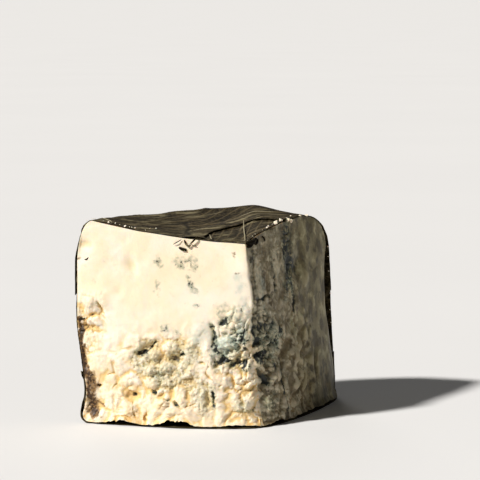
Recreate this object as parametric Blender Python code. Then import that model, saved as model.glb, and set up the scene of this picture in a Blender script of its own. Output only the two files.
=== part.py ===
"""A wedge of blue cheese, about a quarter of a small wheel that was wrapped in leaves.

The wedge stands on its base with +Z up. Its two cut faces meet at the upright nose edge
at -Y, and its round back faces +Y. Leaves cover the top, the back and the underside.

Sizes here are in millimetres, and add_object turns them into metres. Three coordinates
place everything on the wedge:
  u  runs round the rim, from 0 at the right cut face to 1 at the left cut face
  w  runs along the skin at one u: from the nose over the top, down the back and under
  s  runs along a cut face, level, from the nose edge
"""

import math

import bmesh
import bpy
import numpy as np

MM = 0.001

# The wheel, and the wedge cut out of it
WHEEL_RADIUS = 90.5
RIGHT_CUT = math.radians(38.25)
LEFT_CUT = math.radians(141.75)
NOSE_HEIGHT = 89.5
RIM_HEIGHT = 100.0
NOSE_AT = (1.1, -45.4)

# The knife leant a little, so both cuts turn between the base and the top
NOSE_LEAN = 8.4
RIGHT_TURN = math.radians(2.8)
LEFT_TURN = math.radians(2.0)
LEAN_HEIGHT = 90.0

# Leaves heaped under the top leaf raise one stretch of the rim
HUMP_HEIGHT = 6.4
HUMP_AT = 0.23
HUMP_WIDTH_RIGHT = 0.16
HUMP_WIDTH_LEFT = 0.22

# The top is dished, but along the right cut it rises soon and then stays level
EARLY_RISE = 0.9
EARLY_RISE_WIDTH = 0.35

# The rounded shoulder between top and back: how far in and how far down it starts
SHOULDER_IN = (31.0, 10.0)
SHOULDER_DOWN = (21.0, 21.0)
FOOT_RADIUS = (4.5, 6.0)

# The soft paste has slumped: the cuts belly out near the base
SLUMP_HEIGHT = 52.0
SLUMP_LEFT = 9.0
SLUMP_RIGHT = 6.5

# The back by the left cut stands proud above and is pinched below
PROUD_LEFT = 2.1
PINCH_LEFT = 2.2

# By the right cut the paste has shrunk away from the leaves of the back
PASTE_SHRINK = 8.0

# How far along a cut the wear of the nose edge still shows
NOSE_WEAR_REACH = 7.0

# Leaves: their thickness, the step from one layer to the next, how deep the paste
# lies under them on the top, the back and the base, and the large waves they share
LEAF_THICK = 0.55
LEAF_PITCH = 0.9
TOP_STACK = 1.1
BACK_STACK = 2.05
BASE_STACK = 0.95
WAVE_HEIGHT = 0.7
WAVE_LENGTH = 26.0

# Grid of the paste before it is reduced: along a face, up a face, and round the back
FACE_COLUMNS = 60
FACE_ROWS = 64
BACK_COLUMNS = 44
PASTE_TRIANGLES = 7800

# Leaf outlines, as distances along the skin from the nose or as heights
TOP_LEAF_EDGE_RIGHT = 40.0
TOP_LEAF_EDGE_LEFT = 20.0
TOP_LEAF_EDGE_TURN = (0.1, 1.15)
FRONT_LEAF_LAP = 6.0
LAP_SLOPE = 8.0
TOP_LEAF_HANG = 58.0
TOP_LEAF_LOBE = 5.0
SIDE_LEAF_TOP = 78.0
SIDE_LEAF_FOOT = 9.0
SIDE_LEAF_LOBE = 2.0
SIDE_LEAF_MEET = 0.50
SIDE_LEAF_LAP = 0.05
BASE_LEAF_FOLD = 25.0
BASE_LEAF_LOBE = 3.5

# Hollows in a cut face: s, z, half length, half width, tilt in degrees, depth
LEFT_HOLLOWS = (
    (52.0, 36.0, 6.5, 2.2, -32.0, 1.3),
    (38.0, 34.0, 3.0, 2.2, 0.0, 2.2),
    (57.0, 76.0, 5.0, 3.0, 70.0, 0.9),
    (79.0, 87.0, 4.0, 2.5, 10.0, 0.9),
    (80.0, 46.0, 8.0, 2.2, 15.0, 2.6),
    (62.0, 15.0, 4.0, 2.0, 15.0, 2.2),
    (46.0, 14.0, 3.5, 1.8, -20.0, 2.2),
    (24.0, 14.0, 6.0, 1.6, 85.0, 2.2),
    (19.0, 45.0, 6.0, 1.7, 80.0, 0.9),
    (10.0, 32.0, 4.0, 2.2, -40.0, 2.8),
)
RIGHT_HOLLOWS = (
    (50.0, 73.0, 6.0, 4.0, 60.0, 1.6),
    (17.0, 66.0, 9.0, 1.8, 88.0, 1.4),
    (26.0, 34.0, 6.0, 3.0, 60.0, 1.6),
    (40.0, 40.0, 9.0, 2.2, 80.0, 2.2),
    (38.0, 12.0, 10.0, 1.6, 86.0, 2.0),
    (60.0, 22.0, 8.0, 2.2, 70.0, 1.6),
)

# Lumps that stand out of a cut face: s, z, half length, half width, tilt, height
LEFT_LUMPS = (
    (79.0, 57.0, 8.0, 6.0, 0.0, 2.6),
    (72.0, 32.0, 7.0, 7.0, 30.0, 2.0),
    (21.5, 31.0, 8.0, 1.7, 88.0, 1.0),
    (40.0, 9.0, 12.0, 5.0, 0.0, 1.8),
)
RIGHT_LUMPS = (
    (12.0, 26.0, 7.0, 5.0, 60.0, 2.4),
    (34.0, 30.0, 10.0, 3.2, 80.0, 2.4),
    (56.0, 66.0, 5.0, 5.0, 0.0, 1.2),
)


def smooth(x, low, high):
    """0 below low and 1 above high, with a smooth rise between."""
    t = np.clip((x - low) / (high - low), 0.0, 1.0)
    return t * t * (3.0 - 2.0 * t)


def mix(a, b, t):
    return a + (b - a) * t


def lattice(cell, seed):
    """A fixed value between 0 and 1 for each whole-numbered cell."""
    mask = np.uint64(0xFFFFFFFF)
    c = cell.astype(np.int64).astype(np.uint64)
    h = c[..., 0] * np.uint64(374761393) + c[..., 1] * np.uint64(668265263)
    h = h + c[..., 2] * np.uint64(2246822519) + np.uint64(seed * 3266489917)
    h = h & mask
    h = ((h ^ (h >> np.uint64(13))) * np.uint64(1274126177)) & mask
    h = h ^ (h >> np.uint64(16))
    return h.astype(float) / float(0xFFFFFFFF)


def noise(points, size, seed):
    """Smooth noise between -1 and 1, with bumps about size across."""
    p = points / size + 1000.0
    cell = np.floor(p)
    f = p - cell
    f = f * f * (3.0 - 2.0 * f)
    total = 0.0
    for corner in np.ndindex(2, 2, 2):
        c = np.array(corner)
        weight = np.prod(np.where(c == 1, f, 1.0 - f), axis=-1)
        total = total + weight * lattice(cell + c, seed)
    return 2.0 * total - 1.0


def layered_noise(points, size, seed, layers=3):
    total = 0.0
    for k in range(layers):
        total = total + noise(points, size / 2 ** k, seed + k) / 2 ** k
    return total / 1.6


def curds(points, size, seed):
    """Rounded lumps about size across, 1 at a lump's top and 0 in the creases."""
    p = points / size + 1000.0
    cell = np.floor(p)
    nearest = np.full(p.shape[:-1], 9.0)
    second = np.full(p.shape[:-1], 9.0)
    for step in np.ndindex(3, 3, 3):
        other = cell + np.array(step) - 1.0
        shift = np.stack([lattice(other, seed + k) for k in range(3)], axis=-1)
        gap = np.linalg.norm(other + shift - p, axis=-1)
        second = np.minimum(second, np.maximum(gap, nearest))
        nearest = np.minimum(nearest, gap)
    return smooth(second - nearest, 0.0, 0.55)


def warped(points, size, amount, seed):
    """The points, pushed about so that lumps look less regular."""
    push = [noise(points, size, seed + k) for k in range(3)]
    return points + amount * np.stack(push, axis=-1)


def rim_height(u):
    width = np.where(u < HUMP_AT, HUMP_WIDTH_RIGHT, HUMP_WIDTH_LEFT)
    return RIM_HEIGHT + HUMP_HEIGHT * np.exp(-(np.abs(u - HUMP_AT) / width) ** 1.5)


def rim_radius(u, z):
    by_left = smooth(u, 0.7, 1.0)
    proud = PROUD_LEFT * smooth(z, 30.0, 52.0)
    pinch = PINCH_LEFT * np.exp(-((z - 15.0) / 11.0) ** 2)
    return WHEEL_RADIUS + by_left * (proud - pinch)


def cut_directions(z):
    """Level directions of the right and the left cut at height z."""
    part = np.clip(z / LEAN_HEIGHT, 0.0, 1.1)
    return RIGHT_CUT + RIGHT_TURN * part, LEFT_CUT + LEFT_TURN * (1.0 - part)


def slump(t, z):
    """How far each cut bellies out at height z, t of the way from nose to rim."""
    low = 1.0 - smooth(z, 0.0, SLUMP_HEIGHT)
    return low * np.sqrt(np.maximum(np.sin(math.pi * np.clip(t, 0.0, 1.0)), 0.0))


def wedge_point(u, t, z, radius_change=0.0):
    """The point u round the wedge, t of the way from the nose edge to the rim, z up."""
    right, left = cut_directions(z)
    lean = NOSE_LEAN * z / LEAN_HEIGHT
    nose_x = NOSE_AT[0] + lean * math.cos(LEFT_CUT)
    nose_y = NOSE_AT[1] + lean * math.sin(LEFT_CUT)
    turn = mix(right, left, u)
    radius = rim_radius(u, z) + radius_change
    rim_x = NOSE_AT[0] + radius * np.cos(turn)
    rim_y = NOSE_AT[1] + radius * np.sin(turn)
    x = mix(nose_x, rim_x, t)
    y = mix(nose_y, rim_y, t)
    out_left = SLUMP_LEFT * slump(t, z) * smooth(u, 0.7, 1.0)
    out_right = SLUMP_RIGHT * slump(t, z) * smooth(u, 0.3, 0.0)
    x = x - out_left * np.sin(left) + out_right * np.sin(right)
    y = y + out_left * np.cos(left) - out_right * np.cos(right)
    return np.stack(np.broadcast_arrays(x, y, z), axis=-1)


def skin_lengths(u):
    """Where the top, shoulder, back, foot and underside end, in mm along the skin."""
    a = mix(SHOULDER_IN[0], SHOULDER_IN[1], u)
    b = mix(SHOULDER_DOWN[0], SHOULDER_DOWN[1], u)
    c = mix(FOOT_RADIUS[0], FOOT_RADIUS[1], u)
    top = WHEEL_RADIUS - a
    shoulder = top + math.pi / 4 * (a + b) * (1.0 + ((a - b) / (a + b)) ** 2 / 4)
    back = shoulder + rim_height(u) - b - c
    foot = back + math.pi / 2 * c
    return a, b, c, top, shoulder, back, foot, foot + WHEEL_RADIUS - c


def skin_at_height(u, z):
    """Distance w along the skin of the point on the back at height z."""
    a, b, c, top, shoulder, back, foot, end = skin_lengths(u)
    return back - (z - c)


def skin(u, w, depth):
    """The point at u and w, depth below the outermost leaf."""
    u, w, depth = np.broadcast_arrays(u, w, depth)
    a, b, c, top, shoulder, back, foot, end = skin_lengths(u)
    height = rim_height(u)
    dish = (height - NOSE_HEIGHT) * (top / (WHEEL_RADIUS - a * 0.5)) ** 2
    shoulder_z = NOSE_HEIGHT + dish
    early = EARLY_RISE * smooth(u, EARLY_RISE_WIDTH, 0.0)
    part = np.clip(w / top, 0.0, 1.0)
    turn_down = np.clip((w - top) / (shoulder - top), 0.0, 1.0) * math.pi / 2
    turn_in = np.clip((w - back) / (foot - back), 0.0, 1.0) * math.pi / 2
    on_top = w <= top
    on_shoulder = (w > top) & (w <= shoulder)
    on_back = (w > shoulder) & (w <= back)
    on_foot = (w > back) & (w <= foot)
    where = [on_top, on_shoulder, on_back, on_foot]
    r = np.select(where, [
        w,
        top + a * np.sin(turn_down),
        WHEEL_RADIUS + 0.0 * w,
        WHEEL_RADIUS - c + c * np.cos(turn_in),
    ], np.maximum(end - w, 0.0))
    drop = (w - shoulder) / (back - shoulder)
    z = np.select(where, [
        NOSE_HEIGHT + dish * mix(part ** 2, part * (2.0 - part), early),
        shoulder_z - b + b * np.cos(turn_down),
        mix(shoulder_z - b, c, drop),
        c - c * np.sin(turn_in),
    ], 0.0 * w)
    steep = np.hypot(np.sin(turn_down) / a, np.cos(turn_down) / b)
    out_r = np.select(where, [
        0.0 * w,
        np.sin(turn_down) / a / steep,
        1.0 + 0.0 * w,
        np.cos(turn_in),
    ], 0.0 * w)
    out_z = np.select(where, [
        1.0 + 0.0 * w,
        np.cos(turn_down) / b / steep,
        0.0 * w,
        -np.sin(turn_in),
    ], -1.0 + 0.0 * w)
    plain = np.stack([r * np.cos(2.0 * u), r * np.sin(2.0 * u), z], axis=-1)
    wave = WAVE_HEIGHT * layered_noise(plain, WAVE_LENGTH, seed=11)
    depth = depth - wave * smooth(z, 12.0, 30.0)
    inward = out_r * depth
    t = np.where(r > 1e-9, r / WHEEL_RADIUS, 0.0)
    return wedge_point(u, t, z - out_z * depth, -inward * (r > 1e-9) / np.maximum(t, 0.05))


def patches(s, z, shapes):
    """Sum of soft oval patches: each has s, z, half length, half width, tilt, height."""
    total = 0.0
    for at_s, at_z, long, wide, tilt, height in shapes:
        ca, sa = math.cos(math.radians(tilt)), math.sin(math.radians(tilt))
        along = ((s - at_s) * ca + (z - at_z) * sa) / long
        across = (-(s - at_s) * sa + (z - at_z) * ca) / wide
        total = total + height * np.exp(-(along ** 2 + across ** 2) * 1.2)
    return total


def bent(points, s, z, seed):
    """s and z pushed about, so that patches lose their even ovals."""
    return s + 1.6 * noise(points, 8.0, seed), z + 1.6 * noise(points, 8.0, seed + 1)


def left_relief(points, s, z):
    """Smooth where the knife passed, broken into curds below, with a lifted flap."""
    crumbly = 1.0 - smooth(z - 0.10 * (45.0 - s), 36.0, 52.0)
    broken_edge = smooth(s, 66.0, 80.0) * (1.0 - smooth(z, 56.0, 66.0))
    crumbly = np.maximum(crumbly, broken_edge)
    broken = crumbly * mix(0.3, 1.0, smooth(noise(points, 19.0, 25), -0.35, 0.35))
    broken = np.maximum(broken, crumbly * smooth(s, 30.0, 12.0))
    relief = 0.5 * layered_noise(points, 17.0, seed=21)
    relief += broken * 1.8 * (curds(warped(points, 9.0, 2.2, 27), 8.5, seed=31) - 0.55)
    relief += crumbly * 1.3 * layered_noise(points, 14.0, seed=41)
    bent_s, bent_z = bent(points, s, z, 45)
    return relief + patches(bent_s, bent_z, LEFT_LUMPS) - patches(bent_s, bent_z, LEFT_HOLLOWS)


def right_relief(points, s, z):
    """Streaked from top to bottom, with loose lumps low down by the nose."""
    streaked = points * np.array([1.0, 1.0, 0.3])
    crumbly = (1.0 - smooth(z, 40.0, 58.0)) * (1.0 - smooth(s, 42.0, 66.0))
    broken = crumbly * mix(0.3, 1.0, smooth(noise(points, 19.0, 55), -0.35, 0.35))
    broken = np.maximum(broken, crumbly * smooth(s, 30.0, 12.0))
    relief = 0.8 * layered_noise(streaked, 9.0, seed=51)
    relief += broken * 1.8 * (curds(warped(points, 9.0, 2.2, 57), 8.0, seed=61) - 0.55)
    relief += crumbly * 1.2 * layered_noise(points, 13.0, seed=71)
    bent_s, bent_z = bent(points, s, z, 75)
    return relief + patches(bent_s, bent_z, RIGHT_LUMPS) - patches(bent_s, bent_z, RIGHT_HOLLOWS)


def paste_skin():
    """The paste's surface under the leaves: rows along u, columns along the skin."""
    u = np.linspace(0.0, 1.0, BACK_COLUMNS + 1)[:, None]
    a, b, c, top, shoulder, back, foot, end = skin_lengths(u)
    first = mix(top, shoulder, 0.5)
    second = mix(back, foot, 0.5)
    along = np.linspace(0.0, 1.0, FACE_COLUMNS + 1)[None, :]
    down = np.linspace(0.0, 1.0, FACE_ROWS + 1)[None, 1:]
    w = np.hstack([first * along, mix(first, second, down), mix(second, end, along[:, 1:])])
    on_back = smooth(w, top, shoulder)
    under = smooth(w, back - 2.0, foot)
    depth = mix(mix(TOP_STACK, BACK_STACK, on_back), BASE_STACK, under)
    shrunk = smooth(u, 0.12, 0.0) * smooth(w, shoulder - 25.0, shoulder + 15.0)
    depth = depth + PASTE_SHRINK * shrunk * smooth(back - w, 8.0, 50.0)
    return skin(u + 0.0 * w, w, depth)


def cut_face(points, edge, outward, relief):
    """A grid between the nose edge and the skin's border at one cut, with its relief."""
    top = points[:FACE_COLUMNS + 1]
    rim = points[FACE_COLUMNS:FACE_COLUMNS + FACE_ROWS + 1]
    base = points[::-1][:FACE_COLUMNS + 1]
    x = np.linspace(0.0, 1.0, FACE_COLUMNS + 1)[:, None, None]
    y = np.linspace(0.0, 1.0, FACE_ROWS + 1)[None, :, None]
    grid = mix(top[:, None], base[:, None], y) + mix(edge[None], rim[None], x)
    corners = mix(mix(top[0], base[0], y), mix(top[-1], base[-1], y), x)
    grid = grid - corners
    s = np.hypot(grid[..., 0] - edge[None, :, 0], grid[..., 1] - edge[None, :, 1])
    z = grid[..., 2]
    wear_x, wear_y = nose_wear(z)
    near = np.exp(-(s / NOSE_WEAR_REACH) ** 2)
    grid[..., 0] += wear_x * near
    grid[..., 1] += wear_y * near
    to_border = np.minimum(np.minimum(x, 1.0 - x) * WHEEL_RADIUS,
                           np.minimum(y, 1.0 - y) * NOSE_HEIGHT)[..., 0]
    fade = smooth(to_border, 0.0, 4.0)
    height = relief(grid, s, z) * fade
    grid[..., 0] += height * outward[0]
    grid[..., 1] += height * outward[1]
    return grid


def nose_edge(top, base):
    """The upright edge where the cuts meet."""
    z = np.linspace(top[2], base[2], FACE_ROWS + 1)
    edge = wedge_point(0.5 + 0.0 * z, 0.0 * z, z)
    edge[0] = top
    edge[-1] = base
    return edge


def nose_wear(z):
    """How far the nose edge is worn away from straight, as x and y for each height."""
    swing = smooth(z, NOSE_HEIGHT - 3.0, NOSE_HEIGHT - 9.0) * smooth(z, 1.0, 7.0)
    line = np.stack([0.0 * z, 0.0 * z, z], axis=-1)
    x = 1.3 * layered_noise(line, 13.0, seed=81)
    y = -1.0 * (0.4 + layered_noise(line, 9.0, seed=91))
    return x * swing, y * swing


def add_object(name, points, faces, material):
    """A mesh object from points in millimetres, with its faces turned outwards."""
    mesh = bpy.data.meshes.new(name)
    mesh.from_pydata((np.asarray(points) * MM).tolist(), [], faces)
    shape = bmesh.new()
    shape.from_mesh(mesh)
    bmesh.ops.remove_doubles(shape, verts=shape.verts, dist=1e-7)
    bmesh.ops.dissolve_degenerate(shape, edges=shape.edges, dist=1e-8)
    bmesh.ops.recalc_face_normals(shape, faces=shape.faces)
    shape.to_mesh(mesh)
    shape.free()
    mesh.shade_smooth()
    mesh.set_sharp_from_angle(angle=math.radians(50.0))
    mesh.materials.append(material)
    thing = bpy.data.objects.new(name, mesh)
    bpy.context.scene.collection.objects.link(thing)
    return thing


def grid_faces(numbers):
    """Quads over a grid of point numbers."""
    a, b = numbers[:-1, :-1], numbers[1:, :-1]
    c, d = numbers[1:, 1:], numbers[:-1, 1:]
    return np.stack([a, b, c, d], axis=-1).reshape(-1, 4).tolist()


def add_paste(material):
    """The whole of the paste: two cut faces and the skin under the leaves."""
    back = paste_skin()
    edge = nose_edge(back[0, 0], back[0, -1])
    faces = []
    points = []
    start = 0
    right_out = (math.sin(RIGHT_CUT), -math.cos(RIGHT_CUT))
    left_out = (-math.sin(LEFT_CUT), math.cos(LEFT_CUT))
    for grid in (back,
                 cut_face(back[0], edge, right_out, right_relief),
                 cut_face(back[-1], edge, left_out, left_relief)):
        numbers = np.arange(grid.shape[0] * grid.shape[1]).reshape(grid.shape[:2]) + start
        start += numbers.size
        points.append(grid.reshape(-1, 3))
        faces += grid_faces(numbers)
    paste = add_object("paste", np.vstack(points), faces, material)
    full = sum(len(face.vertices) - 2 for face in paste.data.polygons)
    reduce = paste.modifiers.new("reduce", "DECIMATE")
    reduce.ratio = PASTE_TRIANGLES / full
    return paste


def add_leaf(name, u, w, depth, material):
    """A thin wavy sheet over the grid u, w, at the given depth of its middle."""
    outer = skin(u, w, depth - LEAF_THICK / 2)
    inner = skin(u, w, depth + LEAF_THICK / 2)
    count = u.size
    numbers = np.arange(count).reshape(u.shape)
    faces = []
    for quad in grid_faces(numbers):
        for corners in (quad[:3], [quad[0], quad[2], quad[3]]):
            faces.append(corners)
            faces.append([k + count for k in reversed(corners)])
    border = np.concatenate([numbers[0, :], numbers[1:, -1],
                             numbers[-1, -2::-1], numbers[-2:0:-1, 0]])
    for k, m in zip(border, np.roll(border, -1)):
        faces.append([k, m, m + count])
        faces.append([k, m + count, k + count])
    points = np.vstack([outer.reshape(-1, 3), inner.reshape(-1, 3)])
    return add_object(name, points, np.array(faces).tolist(), material)


def sheet_grid(columns, u_start, u_end, lines, rows):
    """Grid of u and w over lines w(u), with a count of rows between each two lines."""
    u = np.linspace(u_start, u_end, columns + 1)[:, None]
    w = [lines[0](u)]
    for line, next_line, count in zip(lines, lines[1:], rows):
        along = np.linspace(0.0, 1.0, count + 1)[None, 1:]
        w.append(mix(line(u), next_line(u), along))
    w = np.hstack(w)
    return u + 0.0 * w, w


def raised_by_lap(u):
    """How far an outer leaf is lifted where the two side leaves overlap."""
    return LEAF_PITCH * smooth(np.abs(u - SIDE_LEAF_MEET), 0.14, SIDE_LEAF_LAP + 0.01)


def nose_line(u):
    return 0.0 * u


def top_leaf_edge(u):
    """The large leaf's front edge, nearer the nose on the left."""
    return mix(TOP_LEAF_EDGE_RIGHT, TOP_LEAF_EDGE_LEFT, smooth(u, *TOP_LEAF_EDGE_TURN))


def front_leaf_edge(u):
    return top_leaf_edge(u) + FRONT_LEAF_LAP + np.sin(9.0 * u)


def front_leaf_lap_end(u):
    return front_leaf_edge(u) + LAP_SLOPE


def shoulder_start(u):
    return skin_lengths(u)[3]


def shoulder_end(u):
    return skin_lengths(u)[4]


def back_end(u):
    return skin_lengths(u)[5]


def foot_end(u):
    return skin_lengths(u)[6]


def base_middle(u):
    return skin_lengths(u)[7]


def top_leaf_hem(u):
    return skin_at_height(u, TOP_LEAF_HANG + TOP_LEAF_LOBE * np.sin(21.0 * u))


def side_leaf_top(u):
    return skin_at_height(u, SIDE_LEAF_TOP + SIDE_LEAF_LOBE * np.sin(11.0 * u))


def side_leaf_foot(u):
    return skin_at_height(u, SIDE_LEAF_FOOT + SIDE_LEAF_LOBE * np.sin(17.0 * u))


def base_leaf_fold(u):
    return skin_at_height(u, BASE_LEAF_FOLD + BASE_LEAF_LOBE * np.sin(19.0 * u))


def add_top_leaves(material):
    """A small leaf over the nose, and the large leaf that laps it and hangs down."""
    u, w = sheet_grid(18, 0.0, 1.0, (nose_line, front_leaf_edge), (8,))
    add_leaf("leaf_top_front", u, w, 0.5 * LEAF_PITCH + 0.0 * w, material)
    lines = (top_leaf_edge, front_leaf_lap_end, shoulder_start, shoulder_end, top_leaf_hem)
    u, w = sheet_grid(24, 0.0, 1.0, lines, (3, 5, 8, 4))
    over_front = 1.0 - smooth(w - front_leaf_edge(u), 0.5, LAP_SLOPE)
    lift = LEAF_PITCH * over_front + raised_by_lap(u) * smooth(w, 55.0, 85.0)
    add_leaf("leaf_top", u, w, 0.5 * LEAF_PITCH - lift, material)


def add_side_leaves(material):
    """Two leaves round the back, the right one over the left one in the middle."""
    lines = (side_leaf_top, side_leaf_foot)
    u, w = sheet_grid(13, SIDE_LEAF_MEET - SIDE_LEAF_LAP, 1.0, lines, (10,))
    add_leaf("leaf_side_left", u, w, 1.5 * LEAF_PITCH + 0.0 * w, material)
    u, w = sheet_grid(14, 0.0, SIDE_LEAF_MEET + SIDE_LEAF_LAP, lines, (10,))
    add_leaf("leaf_side_right", u, w, 1.5 * LEAF_PITCH - raised_by_lap(u), material)


def add_base_leaf(material):
    """The leaf that the wedge stands on, folded a little way up the back."""
    lines = (base_leaf_fold, back_end, foot_end, base_middle)
    u, w = sheet_grid(22, 0.0, 1.0, lines, (4, 5, 9))
    on_side = smooth(foot_end(u) - w, 0.0, 12.0)
    depth = mix(0.5 * LEAF_THICK, 0.5 * LEAF_PITCH, on_side) - raised_by_lap(u) * on_side
    add_leaf("leaf_base", u, w, depth, material)


def finish(name, colour, roughness):
    """A plain material with the part's colour and roughness."""
    material = bpy.data.materials.new(name)
    material.use_nodes = True
    shader = material.node_tree.nodes["Principled BSDF"]
    shader.inputs["Base Color"].default_value = (*colour, 1.0)
    shader.inputs["Roughness"].default_value = roughness
    shader.inputs["Metallic"].default_value = 0.0
    return material


def main():
    for thing in list(bpy.data.objects):
        bpy.data.objects.remove(thing)
    cream = finish("cream", (0.88, 0.80, 0.60), 0.55)
    brown = finish("leaf_brown", (0.075, 0.055, 0.028), 0.6)
    add_paste(cream)
    add_top_leaves(brown)
    add_side_leaves(brown)
    add_base_leaf(brown)


main()
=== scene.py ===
"""Looks of a wedge of blue cheese wrapped in dried leaves.

Lengths are in millimetres up to add_mesh, which turns them into metres. Three
coordinates place everything on the wedge, as in the part's own source:
  u  runs round the rim, from 0 at the right cut face to 1 at the left cut face
  w  runs along the skin at one u: from the nose over the top, down the back and under
  s  runs along a cut face, level, from the nose edge
"""

import math
from collections import namedtuple

import bmesh
import bpy
import numpy as np
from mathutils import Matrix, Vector


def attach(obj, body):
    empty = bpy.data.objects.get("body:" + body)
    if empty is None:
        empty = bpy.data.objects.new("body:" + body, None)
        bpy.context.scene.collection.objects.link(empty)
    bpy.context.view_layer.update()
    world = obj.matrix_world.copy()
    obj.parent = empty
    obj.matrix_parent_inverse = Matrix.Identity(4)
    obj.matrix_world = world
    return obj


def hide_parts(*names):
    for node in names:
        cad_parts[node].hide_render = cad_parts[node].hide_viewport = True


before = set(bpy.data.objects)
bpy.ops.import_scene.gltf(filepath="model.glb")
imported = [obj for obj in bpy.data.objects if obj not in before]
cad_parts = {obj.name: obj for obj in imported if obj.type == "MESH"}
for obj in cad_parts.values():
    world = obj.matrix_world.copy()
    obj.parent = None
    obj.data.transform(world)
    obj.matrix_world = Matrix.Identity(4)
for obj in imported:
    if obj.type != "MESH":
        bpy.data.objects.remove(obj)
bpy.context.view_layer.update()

MM = 0.001

# Points closer than this are joined, in metres
PASTE_WELD = 2e-6
LEAF_WELD = 1e-7

NO_TRIANGLES = np.zeros((0, 3), dtype=int)
NO_QUADS = np.zeros((0, 4), dtype=int)

# The wheel, and the wedge cut out of it
WHEEL_RADIUS = 90.5
RIGHT_CUT = math.radians(38.25)
LEFT_CUT = math.radians(141.75)
NOSE_HEIGHT = 89.5
RIM_HEIGHT = 100.0
NOSE_AT = (1.1, -45.4)
NOSE_LEAN = 8.4
RIGHT_TURN = math.radians(2.8)
LEFT_TURN = math.radians(2.0)
LEAN_HEIGHT = 90.0
HUMP_HEIGHT = 6.4
HUMP_AT = 0.23
HUMP_WIDTH_RIGHT = 0.16
HUMP_WIDTH_LEFT = 0.22
EARLY_RISE = 0.9
EARLY_RISE_WIDTH = 0.35
SHOULDER_IN = (31.0, 10.0)
SHOULDER_DOWN = (21.0, 21.0)
FOOT_RADIUS = (4.5, 6.0)
SLUMP_HEIGHT = 52.0
SLUMP_LEFT = 9.0
SLUMP_RIGHT = 6.5
PROUD_LEFT = 2.1
PROUD_FROM = (30.0, 52.0)
PINCH_LEFT = 2.2
PINCH_AT = 15.0
PINCH_WIDTH = 11.0
BY_LEFT_CUT = (0.7, 1.0)
BY_RIGHT_CUT = (0.3, 0.0)
PASTE_SHRINK = 8.0

# Where the paste is crumbly: heights, and distances from the nose, where that fades
LEFT_CRUMBLY = (36.0, 52.0)
LEFT_CRUMBLY_RISE = 0.10
LEFT_CRUMBLY_MIDDLE = 45.0
FLAP_FROM = (66.0, 80.0)
FLAP_BELOW = (56.0, 66.0)
RIGHT_CRUMBLY = (40.0, 58.0)
RIGHT_CRUMBLY_REACH = (42.0, 66.0)
CURD_HEIGHT = 1.8
CURD_LEVEL = 0.55

# The nose edge is worn, and blunt below its middle
NOSE_WEAR_REACH = 7.0
NOSE_BLUNT = 2.2
NOSE_BLUNT_REACH = 4.0
NOSE_BLUNT_BELOW = (44.0, 58.0)

# The right cut's relief is drawn out from top to bottom
STREAKED = np.array([1.0, 1.0, 0.3])
FINELY_STREAKED = np.array([1.0, 1.0, 0.25])

# Level directions straight out of each cut
RIGHT_OUT = np.array([math.sin(RIGHT_CUT), -math.cos(RIGHT_CUT), 0.0])
LEFT_OUT = np.array([-math.sin(LEFT_CUT), math.cos(LEFT_CUT), 0.0])

# Where the paste's lower border rises off the base leaf: s, half length, height
LEFT_GAPS = ((42, 9, 3), (69, 7, 2.6), (12, 9, 1.6))
RIGHT_GAPS = ((13, 9, 1.3), (42, 14, 1.4), (70, 8, 1))
GAP_REACH = 6.0
UNDERCUT = (1.0, 1.0, 1.0, 0.8, 0.4, 0.1)

# Leaf layers and outlines
LEAF_THICK = 0.55
LEAF_PITCH = 0.9
TOP_STACK = 1.1
BACK_STACK = 2.05
BASE_STACK = 0.95
WAVE_HEIGHT = 0.7
WAVE_LENGTH = 26.0
WAVES_FROM = (12.0, 30.0)
TOP_LEAF_EDGE_RIGHT = 40.0
TOP_LEAF_EDGE_LEFT = 20.0
TOP_LEAF_EDGE_TURN = (0.1, 1.15)
FRONT_LEAF_LAP = 6.0
LAP_SLOPE = 8.0
TOP_LEAF_HANG = 58.0
TOP_LEAF_LOBE = 5.0
SIDE_LEAF_TOP = 78.0
SIDE_LEAF_FOOT = 9.0
SIDE_LEAF_LOBE = 2.0
SIDE_LEAF_MEET = 0.50
SIDE_LEAF_LAP = 0.05
BASE_LEAF_FOLD = 25.0
BASE_LEAF_LOBE = 3.5

# How far the leaves are torn back at the deepest notches, at the right and the left cut
TOP_TORN = (0.5, 0.8)
HANGING_TORN = (0.2, 2.5)
SIDE_TORN = (0.2, 2.0)
BASE_TORN = (0.2, 2.5)

# Relief of a leaf: how deep it sinks between ribs, between fibres and in its buckles
Relief = namedtuple("Relief", "ribs fibres buckles")
TOP_RELIEF = Relief(0.30, 0.22, 0.50)
SIDE_RELIEF = Relief(0.25, 0.15, 0.20)
BASE_RELIEF = Relief(0.12, 0.08, 0.10)
THINNEST_LEAF = 0.12

# Ribs of a leaf laid flat: where the middle rib starts, its heading and the side ribs'
# angle to it in degrees, their spacing, how much they bend, and the leaf's seed
Ribs = namedtuple("Ribs", "start heading angle spacing bend seed")
NOSE_RIBS = Ribs((-40.0, -8.0), 24.0, 34.0, 8.0, 0.004, 401)
TOP_RIBS = Ribs((-96.0, 52.0), -3.0, 27.0, 13.0, 0.002, 421)
LEFT_RIBS = Ribs((66.0, -190.0), 55.0, 42.0, 11.0, 0.003, 441)
RIGHT_RIBS = Ribs((96.0, -185.0), 128.0, 42.0, 11.0, 0.003, 461)
BASE_RIBS = Ribs((80.0, -262.0), 90.0, 48.0, 12.0, 0.003, 481)

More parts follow.
